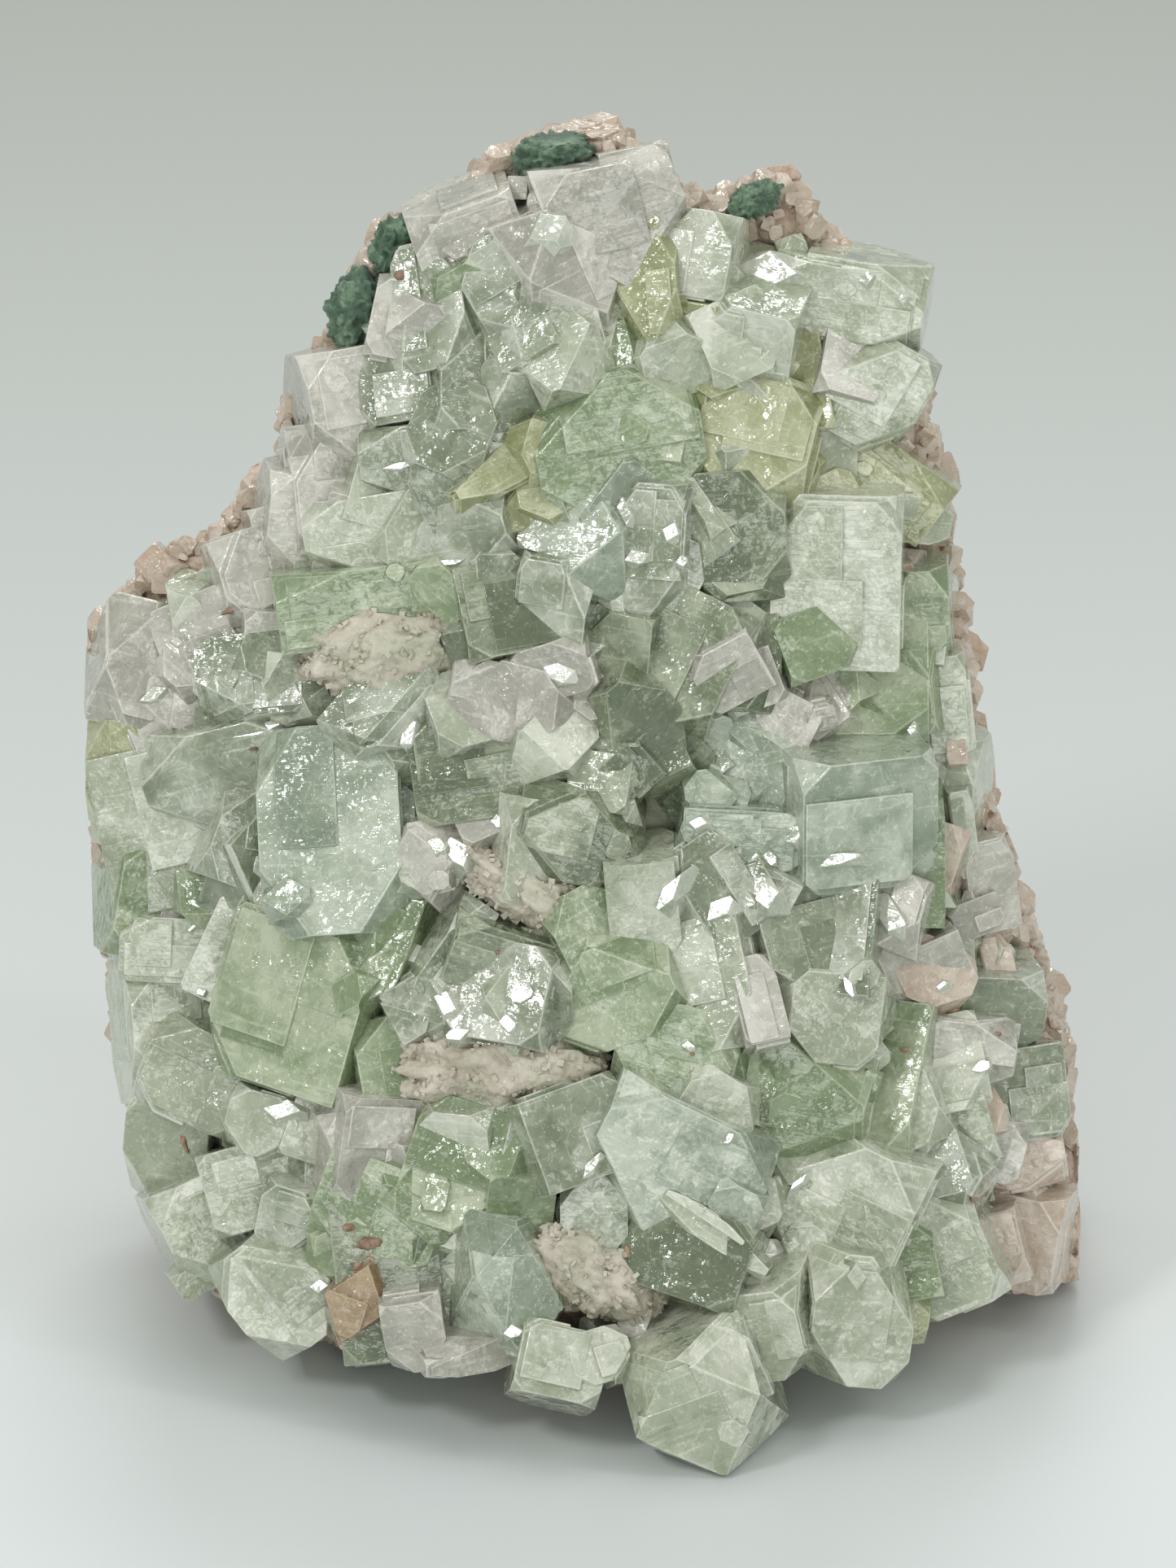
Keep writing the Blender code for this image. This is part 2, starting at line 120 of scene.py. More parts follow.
def addNode(tree, kind, inputs, out=0, stops=(), **settings):
    # inputs maps a socket to a value, a hex colour or another node's output; stops are a ramp's.
    node = tree.nodes.new("ShaderNode" + kind)
    for name, value in settings.items():
        setattr(node, name, value)
    for socket, value in inputs.items():
        if isinstance(value, bpy.types.NodeSocket):
            tree.links.new(value, node.inputs[socket])
        else:
            node.inputs[socket].default_value = hexColour(value) if isinstance(value, str) else value
    for number, (place, colour) in enumerate(stops):
        while len(node.color_ramp.elements) < len(stops):
            node.color_ramp.elements.new(0.5)
        node.color_ramp.elements[number].position = place
        node.color_ramp.elements[number].color = hexColour(colour) if isinstance(colour, str) else (colour,) * 3 + (1.0,)
    return node.outputs[out]


def newMaterial(name, values):
    made = bpy.data.materials.new(name)
    made.use_nodes = True
    tree = made.node_tree
    shader = tree.nodes["Principled BSDF"]
    for socket, value in values.items():
        shader.inputs[socket].default_value = value
    return made, tree, shader


# Apophyllite: a glassy layered silicate (index about 1.535), grown from hot water in cavities of
# basalt. Its blocks are cloudy: clear windows that look darker, milky veils, white flecks, flat
# cleavage cracks, and frosted, chipped edges, which are painted lighter, partly as a painted highlight
# where the bevels catch the light. Recesses get a greener, lighter colour: painted light for light
# that goes further through the crystal there.
apophyllite = {
    "pale": {"window": "#8A937A", "clear": "#ABB29B", "milky": "#D8DBCB", "deep": "#B4BF9C"},
    "blue": {"window": "#76846F", "clear": "#929E89", "milky": "#C6CDBC", "deep": "#9CAD8D"},
    "green": {"window": "#697A55", "clear": "#849570", "milky": "#BDC5AA", "deep": "#93A87A"},
    "yellow": {"window": "#7E8359", "clear": "#9BA075", "milky": "#C9CCAC", "deep": "#A1A976"},
    "dusky": {"window": "#546047", "clear": "#6A755A", "milky": "#AAB199", "deep": "#72815C"},
    "clear": {"window": "#626D54", "clear": "#8D967E", "milky": "#D0D3C5", "deep": "#94A181"},
    "frosted": {"window": "#939286", "clear": "#B0AEA2", "milky": "#DCD9CF", "deep": "#B7B7A2"},
    "amber": {"window": "#6F5539", "clear": "#8A6F50", "milky": "#B5A284", "deep": "#765E42"},
    "peach": {"window": "#AC9580", "clear": "#C5B5A3", "milky": "#DFD3C6", "deep": "#C2AC97"},
    # The glint finish is lighter than the clear one: a painted highlight on facets that also truly reflect the front
    # softbox.
    "glint": {"window": "#959E88", "clear": "#B6BCAA", "milky": "#DBDDD2", "deep": "#A3AE91"},
}
gloss = {"pale": 0.13, "blue": 0.12, "green": 0.13, "yellow": 0.13, "dusky": 0.09, "clear": 0.08, "frosted": 0.24,
         "amber": 0.2, "peach": 0.3, "glint": 0.03}


def apophylliteMaterial(name):
    look = apophyllite[name]
    made, tree, shader = newMaterial("apophyllite_" + name, {
        "IOR": 1.535, "Coat Weight": 0.8, "Coat Roughness": 0.03, "Coat IOR": 1.535,
    })
    grown = addNode(tree, "Attribute", {}, "Vector", attribute_name="lattice")
    facet = addNode(tree, "Attribute", {}, "Fac", attribute_name="facet")
    edge = addNode(tree, "Attribute", {}, "Fac", attribute_name="rim")
    sunk = addNode(tree, "Attribute", {}, "Fac", attribute_name="sunk")
    tone = addNode(tree, "Attribute", {}, "Fac", attribute_name="tone")
    # Each facet looks into the block another way, so its clouds start somewhere else.
    behind = addNode(tree, "VectorMath", {0: (37.0, 23.0, 11.0), "Scale": facet}, operation="SCALE")
    lattice = addNode(tree, "VectorMath", {0: grown, 1: behind}, operation="ADD")

    # Growth mosaic: patches of 2 mm, and of 0.6 mm where etched, each tipped a few degrees its own way.
    warp = addNode(tree, "TexNoise", {"Vector": lattice, "Scale": 0.7, "Detail": 2.0}, "Color")
    warped = addNode(tree, "VectorMath", {0: warp, 1: (1.6, 1.6, 1.6), 2: lattice}, operation="MULTIPLY_ADD")
    patches, tips = [], []
    for scale in (0.42, 1.6):
        patch = addNode(tree, "TexVoronoi", {"Vector": warped, "Scale": scale}, "Color")
        slope = addNode(tree, "VectorMath", {0: patch, 1: (0.5, 0.5, 0.5)}, operation="SUBTRACT")
        reach = addNode(tree, "VectorMath", {0: warped, 1: patch.node.outputs["Position"]}, operation="SUBTRACT")
        patches.append(patch)
        tips.append(addNode(tree, "VectorMath", {0: slope, 1: reach}, "Value", operation="DOT_PRODUCT"))

    # Clouds 3 to 8 mm across, and healed cracks as thin curved veils.
    cloud = addNode(tree, "TexNoise", {"Vector": lattice, "Scale": 0.2, "Detail": 3.0, "Roughness": 0.5,
                                       "Distortion": 0.8})
    turned = addNode(tree, "Math", {0: facet, 1: 0.34, 2: -0.17}, operation="MULTIPLY_ADD")
    cloud = addNode(tree, "Math", {0: cloud, 1: turned}, operation="ADD")
    sheet = addNode(tree, "TexNoise", {"Vector": lattice, "Scale": 0.36, "Detail": 2.0, "Distortion": 1.4})
    veil = addNode(tree, "ValToRGB", {"Fac": sheet}, stops=[(0.475, 0.0), (0.5, 1.0), (0.525, 0.0)])
    # White flecks of 0.1 to 0.4 mm, and cleavage cracks that lie flat across the block.
    fleck = addNode(tree, "TexNoise", {"Vector": lattice, "Scale": 2.4, "Detail": 3.0, "Roughness": 0.7})
    flecks = addNode(tree, "ValToRGB", {"Fac": fleck}, stops=[(0.58, 0.0), (0.7, 1.0)])
    flat = addNode(tree, "Mapping", {"Vector": grown, "Scale": (0.25, 0.25, 2.6)})
    line = addNode(tree, "TexNoise", {"Vector": flat, "Scale": 1.0, "Detail": 2.0, "Distortion": 0.3})
    lines = addNode(tree, "ValToRGB", {"Fac": line}, stops=[(0.6, 0.0), (0.7, 1.0)])

    milky = addNode(tree, "ValToRGB", {"Fac": cloud}, stops=[(0.3, 0.0), (0.8, 0.8)])
    # The edge share makes the bevels lighter: frosted, chipped edges, and partly a painted highlight.
    for pattern, share in ((veil, 0.2), (flecks, 0.36), (lines, 0.22), (edge, 0.26), (patches[0], 0.22),
                           (patches[1], 0.16)):
        milky = addNode(tree, "Math", {0: pattern, 1: share, 2: milky}, operation="MULTIPLY_ADD", use_clamp=True)
    colour = addNode(tree, "ValToRGB", {"Fac": milky},
                     stops=[(0.0, look["window"]), (0.45, look["clear"]), (1.0, look["milky"])])
    # Painted light: points sunk behind the front take the greener, lighter deep colour, less so on the bevels.
    rimmed = addNode(tree, "Math", {0: edge, 1: -0.3, 2: 0.6}, operation="MULTIPLY_ADD")
    paintedThroughLight = addNode(tree, "Math", {0: sunk, 1: rimmed}, operation="MULTIPLY")
    colour = addNode(tree, "Mix", {0: paintedThroughLight, 6: colour, 7: look["deep"]}, 2, data_type="RGBA")
    shade = addNode(tree, "ValToRGB", {"Fac": tone}, stops=[(0.0, 0.93), (1.0, 1.0)])
    colour = addNode(tree, "Mix", {0: 1.0, 6: colour, 7: shade}, 2, data_type="RGBA", blend_type="MULTIPLY")
    tree.links.new(colour, shader.inputs["Base Color"])

    etched = addNode(tree, "TexNoise", {"Vector": lattice, "Scale": 0.7, "Detail": 3.0, "Roughness": 0.6})
    etching = addNode(tree, "ValToRGB", {"Fac": etched}, stops=[(0.42, 0.0), (0.66, 1.0)])
    rough = addNode(tree, "Math", {0: etching, 1: 0.16, 2: gloss[name]}, operation="MULTIPLY_ADD")
    tree.links.new(rough, shader.inputs["Roughness"])

    # Growth lines 0.1 to 0.3 mm apart, a slow ripple of 1 to 3 mm, and small etch pits.
    lined = addNode(tree, "Mapping", {"Vector": grown, "Scale": (0.35, 0.35, 4.0)})
    ridges = addNode(tree, "TexNoise", {"Vector": lined, "Scale": 1.0, "Detail": 3.0, "Roughness": 0.6})
    ripple = addNode(tree, "TexNoise", {"Vector": lattice, "Scale": 0.5, "Detail": 2.0, "Distortion": 0.5})
    pits = addNode(tree, "TexVoronoi", {"Vector": lattice, "Scale": 2.2})
    pitted = addNode(tree, "Math", {0: pits, 1: etching}, operation="MULTIPLY")
    crackled = addNode(tree, "Math", {0: tips[1], 1: etching}, operation="MULTIPLY")
    height = addNode(tree, "Math", {0: tips[0], 1: 0.16}, operation="MULTIPLY")
    for pattern, depth in ((ridges, 0.03), (ripple, 0.08), (pitted, 0.05), (crackled, 0.4)):
        height = addNode(tree, "Math", {0: pattern, 1: depth, 2: height}, operation="MULTIPLY_ADD")
    relief = 0.25 if name == "glint" else 1.0
    bump = addNode(tree, "Bump", {"Height": height, "Distance": relief * millimetre})
    tree.links.new(bump, shader.inputs["Normal"])
    tree.links.new(bump, shader.inputs["Coat Normal"])
    return made


# Stilbite crust: a sugary pinkish-white zeolite (index about 1.5) in tiny sheaves, dull and soft looking.
# Iron in it stains it tan and peach, with brown specks.
def stilbiteMaterial():
    made, tree, shader = newMaterial("stilbite_crust", {
        "IOR": 1.5,
    })
    place = addNode(tree, "TexCoord", {}, "Object")
    blotch = addNode(tree, "TexNoise", {"Vector": place, "Scale": 260.0, "Detail": 5.0, "Roughness": 0.65})
    pinker = addNode(tree, "ValToRGB", {"Fac": blotch}, stops=[(0.35, "#AFA695"), (0.65, "#D2CBBC")])
    green = addNode(tree, "TexNoise", {"Vector": place, "Scale": 190.0, "Detail": 2.0})
    greener = addNode(tree, "ValToRGB", {"Fac": green}, stops=[(0.5, 0.0), (0.7, 0.6)])
    colour = addNode(tree, "Mix", {0: greener, 6: pinker, 7: "#B9BEA9"}, 2, data_type="RGBA")
    tree.links.new(colour, shader.inputs["Base Color"])
    grain = addNode(tree, "TexVoronoi", {"Vector": place, "Scale": 2200.0})
    dull = addNode(tree, "ValToRGB", {"Fac": grain}, stops=[(0.1, 0.22), (0.7, 0.55)])
    tree.links.new(dull, shader.inputs["Roughness"])
    bump = addNode(tree, "Bump", {"Height": grain, "Strength": 0.9, "Distance": 0.12 * millimetre})
    tree.links.new(bump, shader.inputs["Normal"])
    return made


# Celadonite: a soft dark green clay-like mica that coats the wall of the cavity, dull as felt.
def celadoniteMaterial():
    made, tree, shader = newMaterial("celadonite_crust", {"IOR": 1.6, "Sheen Weight": 0.15})
    place = addNode(tree, "TexCoord", {}, "Object")
    blotch = addNode(tree, "TexNoise", {"Vector": place, "Scale": 600.0, "Detail": 6.0, "Roughness": 0.7})
    colour = addNode(tree, "ValToRGB", {"Fac": blotch}, stops=[(0.36, "#33493A"), (0.5, "#4A6650"), (0.64, "#829A80")])
    tree.links.new(colour, shader.inputs["Base Color"])
    dull = addNode(tree, "ValToRGB", {"Fac": blotch}, stops=[(0.3, 0.62), (0.7, 0.85)])
    tree.links.new(dull, shader.inputs["Roughness"])
    bump = addNode(tree, "Bump", {"Height": blotch, "Distance": 0.2 * millimetre})
    tree.links.new(bump, shader.inputs["Normal"])
    return made


# Limonite: the earthy red-brown iron stain that sits in specks on the zeolite.
def limoniteMaterial():
    made, tree, shader = newMaterial("limonite_speck", {"IOR": 1.9, "Roughness": 0.6})
    place = addNode(tree, "TexCoord", {}, "Object")
    blotch = addNode(tree, "TexNoise", {"Vector": place, "Scale": 900.0, "Detail": 4.0, "Roughness": 0.6})
    colour = addNode(tree, "ValToRGB", {"Fac": blotch}, stops=[(0.38, "#6B4933"), (0.62, "#A5866A")])
    tree.links.new(colour, shader.inputs["Base Color"])
    bump = addNode(tree, "Bump", {"Height": blotch, "Distance": 0.2 * millimetre})
    tree.links.new(bump, shader.inputs["Normal"])
    return made


# The rock: a crust of zeolites on weathered basalt. Its broken rim is granular, peach and pinkish tan
# with brown iron specks; the back is greyer and carries the celadonite skin of the cavity wall.
# Away from the rim, the face under the crystals is painted pale green: painted light for light that
# comes through the crystals into the gaps.
def rockMaterial():
    made, tree, shader = newMaterial("zeolite_rock", {
        "IOR": 1.5,
    })
    place = addNode(tree, "TexCoord", {}, "Object")
    inward = addNode(tree, "Attribute", {}, "Fac", attribute_name="inward")
    heart = addNode(tree, "Attribute", {}, "Fac", attribute_name="heart")
    patch = addNode(tree, "TexNoise", {"Vector": place, "Scale": 110.0, "Detail": 5.0, "Roughness": 0.6,
                                       "Distortion": 0.5})
    fine = addNode(tree, "TexNoise", {"Vector": place, "Scale": 700.0, "Detail": 5.0, "Roughness": 0.7})
    speck = addNode(tree, "TexNoise", {"Vector": place, "Scale": 420.0, "Detail": 3.0})
    skin = addNode(tree, "TexNoise", {"Vector": place, "Scale": 75.0, "Detail": 6.0, "Roughness": 0.68})
    finer = addNode(tree, "ValToRGB", {"Fac": fine}, stops=[(0.44, 0.0), (0.7, 0.7)])
    specks = addNode(tree, "ValToRGB", {"Fac": speck}, stops=[(0.66, 0.0), (0.74, 0.8)])
    skins = addNode(tree, "ValToRGB", {"Fac": skin}, stops=[(0.56, 0.0), (0.62, 0.9)])
    # Painted light: the face away from the rim, seen in the gaps between crystals, is mixed to pale green for light
    # coming through the crystals.
    paintedGapLight = addNode(tree, "Math", {0: heart, 1: 0.85}, operation="MULTIPLY")
    behind = addNode(tree, "ValToRGB", {"Fac": inward}, stops=[(0.62, 0.0), (0.95, 1.0)])
    rim = addNode(tree, "ValToRGB", {"Fac": patch}, stops=[(0.4, "#C7AE9A"), (0.62, "#DED0C2")])
    back = addNode(tree, "ValToRGB", {"Fac": patch}, stops=[(0.42, "#A79A8A"), (0.6, "#BFB09E")])
    for share, stain in ((finer, "#B0977F"), (specks, "#7F5942"), (paintedGapLight, "#BCC6AA")):
        rim = addNode(tree, "Mix", {0: share, 6: rim, 7: stain}, 2, data_type="RGBA")
    for share, stain in ((finer, "#8B7E6E"), (skins, "#4C6E57")):
        back = addNode(tree, "Mix", {0: share, 6: back, 7: stain}, 2, data_type="RGBA")
    colour = addNode(tree, "Mix", {0: behind, 6: rim, 7: back}, 2, data_type="RGBA")
    tree.links.new(colour, shader.inputs["Base Color"])
    dull = addNode(tree, "ValToRGB", {"Fac": fine}, stops=[(0.3, 0.42), (0.7, 0.75)])
    tree.links.new(dull, shader.inputs["Roughness"])
    grain = addNode(tree, "TexVoronoi", {"Vector": place, "Scale": 1300.0})
    height = addNode(tree, "Math", {0: fine, 1: 1.5, 2: grain}, operation="MULTIPLY_ADD")
    bump = addNode(tree, "Bump", {"Height": height, "Distance": 0.22 * millimetre})
    tree.links.new(bump, shader.inputs["Normal"])
    return made


materials = {name: apophylliteMaterial(name) for name in apophyllite}
materials["stilbite"] = stilbiteMaterial()
materials["celadonite"] = celadoniteMaterial()
materials["limonite"] = limoniteMaterial()
materials["rock"] = rockMaterial()
print("materials made:", len(materials))


# sunkFrom and sunkOver set where the painted through-light tint of recesses begins and how deep it reaches full
# strength.
growth = {
    "bevel": 0.1, "bevelSegments": 2, "sizeScatter": 0.03, "cornerScatter": 0.2, "weld": 0.02,
    "stepLeast": 0.06, "stepMost": 0.32, "stepCount": 5, "swell": 1.17, "perched": 1,
    "sunkFrom": 1.5, "sunkOver": 6.0, "inset": (0.02, 0.3),
}


def cutFlat(bm, point, normal):
    geometry = bm.verts[:] + bm.edges[:] + bm.faces[:]
    bmesh.ops.bisect_plane(bm, geom=geometry, plane_co=point, plane_no=normal, clear_outer=True)
    openEdges = [edge for edge in bm.edges if edge.is_boundary]
    if openEdges:
        bmesh.ops.holes_fill(bm, edges=openEdges, sides=0)


def cornerPlanes(size, corner, chance, scatter):
    planes = []
    wide, high, deep = size
    for xSide in (-1, 1):
        for ySide in (-1, 1):
            for zSide in (-1, 1):
                left = corner + chance.uniform(-scatter, scatter)
                slope = Vector((xSide / wide, ySide / deep, zSide / high))
                planes.append((slope.normalized(), left / slope.length))
    return planes


def block(size, centre, planes, grow):
    # One box in the crystal's own axes, with the pyramid faces cut on it.
    bm = bmesh.new()
    bmesh.ops.create_cube(bm, size=1.0)
    bmesh.ops.scale(bm, vec=Vector((size[0], size[2], size[1])), verts=bm.verts)
    bmesh.ops.translate(bm, vec=centre, verts=bm.verts)
    for slope, reach in planes:
        cutFlat(bm, slope * (reach + grow), slope)
    return bm


def keptInside(point, inset):
    # The frame's box holds every point; each solid stops a little short of it, at a depth of its own.
    return Vector([min(max(point[k], cadBox[0][k] + inset), cadBox[1][k] - inset) for k in range(3)])


def dress(bm, place, bevel, seed):
    # Bevels a solid, marks its bevels and its own axes, and puts it in its place.
    chance = random.Random(seed)
    down = (place.inverted().to_3x3() @ Vector((0.0, 0.0, -1.0))).normalized()
    cutFlat(bm, place.inverted() @ Vector((0.0, 0.0, stand["floorGap"] * millimetre)), down)
    bmesh.ops.remove_doubles(bm, verts=bm.verts, dist=growth["weld"])
    bmesh.ops.dissolve_limit(bm, angle_limit=0.01, verts=bm.verts, edges=bm.edges)
    bmesh.ops.recalc_face_normals(bm, faces=bm.faces)
    rim = bm.faces.layers.float.new("rim")
    facet = bm.faces.layers.float.new("facet")
    for face in bm.faces:
        face[facet] = chance.random()
    # The bevels are marked as rim; the crystal colour paints them lighter, for frosted edges and as a painted
    # highlight.
    if bevel > 0.0:
        done = bmesh.ops.bevel(bm, geom=bm.edges[:], offset=bevel, offset_type="OFFSET", affect="EDGES",
                               segments=growth["bevelSegments"], profile=0.5, material=-1, clamp_overlap=True)
        for face in done["faces"]:
            face[rim] = 1.0
            face.smooth = True
    lattice = bm.verts.layers.float_vector.new("lattice")
    sunk = bm.verts.layers.float.new("sunk")
    tone = bm.verts.layers.float.new("tone")
    offset = Vector((chance.uniform(0, 400), chance.uniform(0, 400), chance.uniform(0, 400)))
    shade = chance.random()
    toLayout = layout.inverted()
    inset = chance.uniform(*growth["inset"]) * millimetre
    for vert in bm.verts:
        vert[lattice] = vert.co + offset
        vert[tone] = shade
        vert.co = keptInside(place @ vert.co, inset)
        # sunk: how far a point lies behind the front surface; it sets the painted through-light tint of the crystal
        # colour.
        here = toLayout @ vert.co / millimetre
        depth = faceDepth(here.x, here.z + stand["baseUp"]) + growth["sunkFrom"] + here.y
        vert[sunk] = min(max(depth / growth["sunkOver"], 0.0), 1.0)


def joined(solids):
    # Puts several dressed solids in one mesh.
    whole = bmesh.new()
    spare = bpy.data.meshes.new("spare")
    for solid in solids:
        solid.to_mesh(spare)
        solid.free()
        whole.from_mesh(spare)
    bpy.data.meshes.remove(spare)
    return whole


def addPiece(name, bm, kind, nodes=()):
    for vert in bm.verts:
        vert.co = keptInside(vert.co, 0.0)
    mesh = bpy.data.meshes.new(name)
    bm.to_mesh(mesh)
    bm.free()
    mesh.materials.append(materials[kind])
    piece = bpy.data.objects.new(name, mesh)
    bpy.context.scene.collection.objects.link(piece)
    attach(piece, "root")
    if nodes:
        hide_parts(*nodes)
    return piece


def growCrystal(size, corner, place, seed, steps, perched):
    # A crystal, the thin parallel plates that stand on its faces as growth steps, and small
    # crystals perched on it nearly in its own direction.
    chance = random.Random(seed)
    scatter = growth["sizeScatter"]
    size = [growth["swell"] * side * (1.0 + chance.uniform(-scatter, scatter)) for side in size]
    planes = cornerPlanes(size, corner, chance, growth["cornerScatter"])
    solids = [block(size, (0.0, 0.0, 0.0), planes, 0.0)]
    dress(solids[0], place, growth["bevel"], seed * 100)
    own = random.Random(seed + 5000)
    half = Vector((size[0], size[2], size[1])) / 2
    for number in range(steps):
        axis = own.choice((0, 1, 1, 2, 2))
        side = -1.0 if axis == 1 else own.choice((-1.0, 1.0))
        rise = own.uniform(growth["stepLeast"], growth["stepMost"])
        span = Vector([2 * half[k] * own.uniform(0.35, 0.8) for k in range(3)])
        centre = Vector([own.choice((-1, 1)) * own.uniform(0.5, 0.96) * (half[k] - span[k] / 2) for k in range(3)])
        span[axis] = half[axis]
        centre[axis] = side * (half[axis] / 2 + rise)
        solid = block((span[0], span[2], span[1]), centre, planes, rise * 0.5)
        dress(solid, place, growth["bevel"], seed * 100 + 1 + number)
        solids.append(solid)
    for number in range(perched):
        axis = own.choice((0, 1, 1, 1, 2))
        side = -1.0 if axis == 1 else own.choice((-1.0, 1.0))
        small = own.uniform(0.7, 1.0) * 0.24 * min(size[0], size[1])
        span = (small * own.uniform(0.8, 1.7), small * own.uniform(0.8, 1.7), small * 1.5)
        seatAt = Vector([half[k] * own.uniform(-0.85, 0.85) for k in range(3)])
        seatAt[axis] = side * (half[axis] - 0.45 * small)
        turn = Matrix.Rotation(math.radians(own.uniform(-14, 14)), 4, "Y")
        turn = turn @ Matrix.Rotation(math.radians(own.uniform(-12, 12)), 4, "X")
        slopes = cornerPlanes(span, own.uniform(0.95, 1.35), own, 0.1)
        solid = block(span, (0.0, 0.0, 0.0), slopes, 0.0)
        dress(solid, place @ Matrix.Translation(seatAt) @ turn, 0.05, seed * 100 + 50 + number)
        solids.append(solid)
    return solids


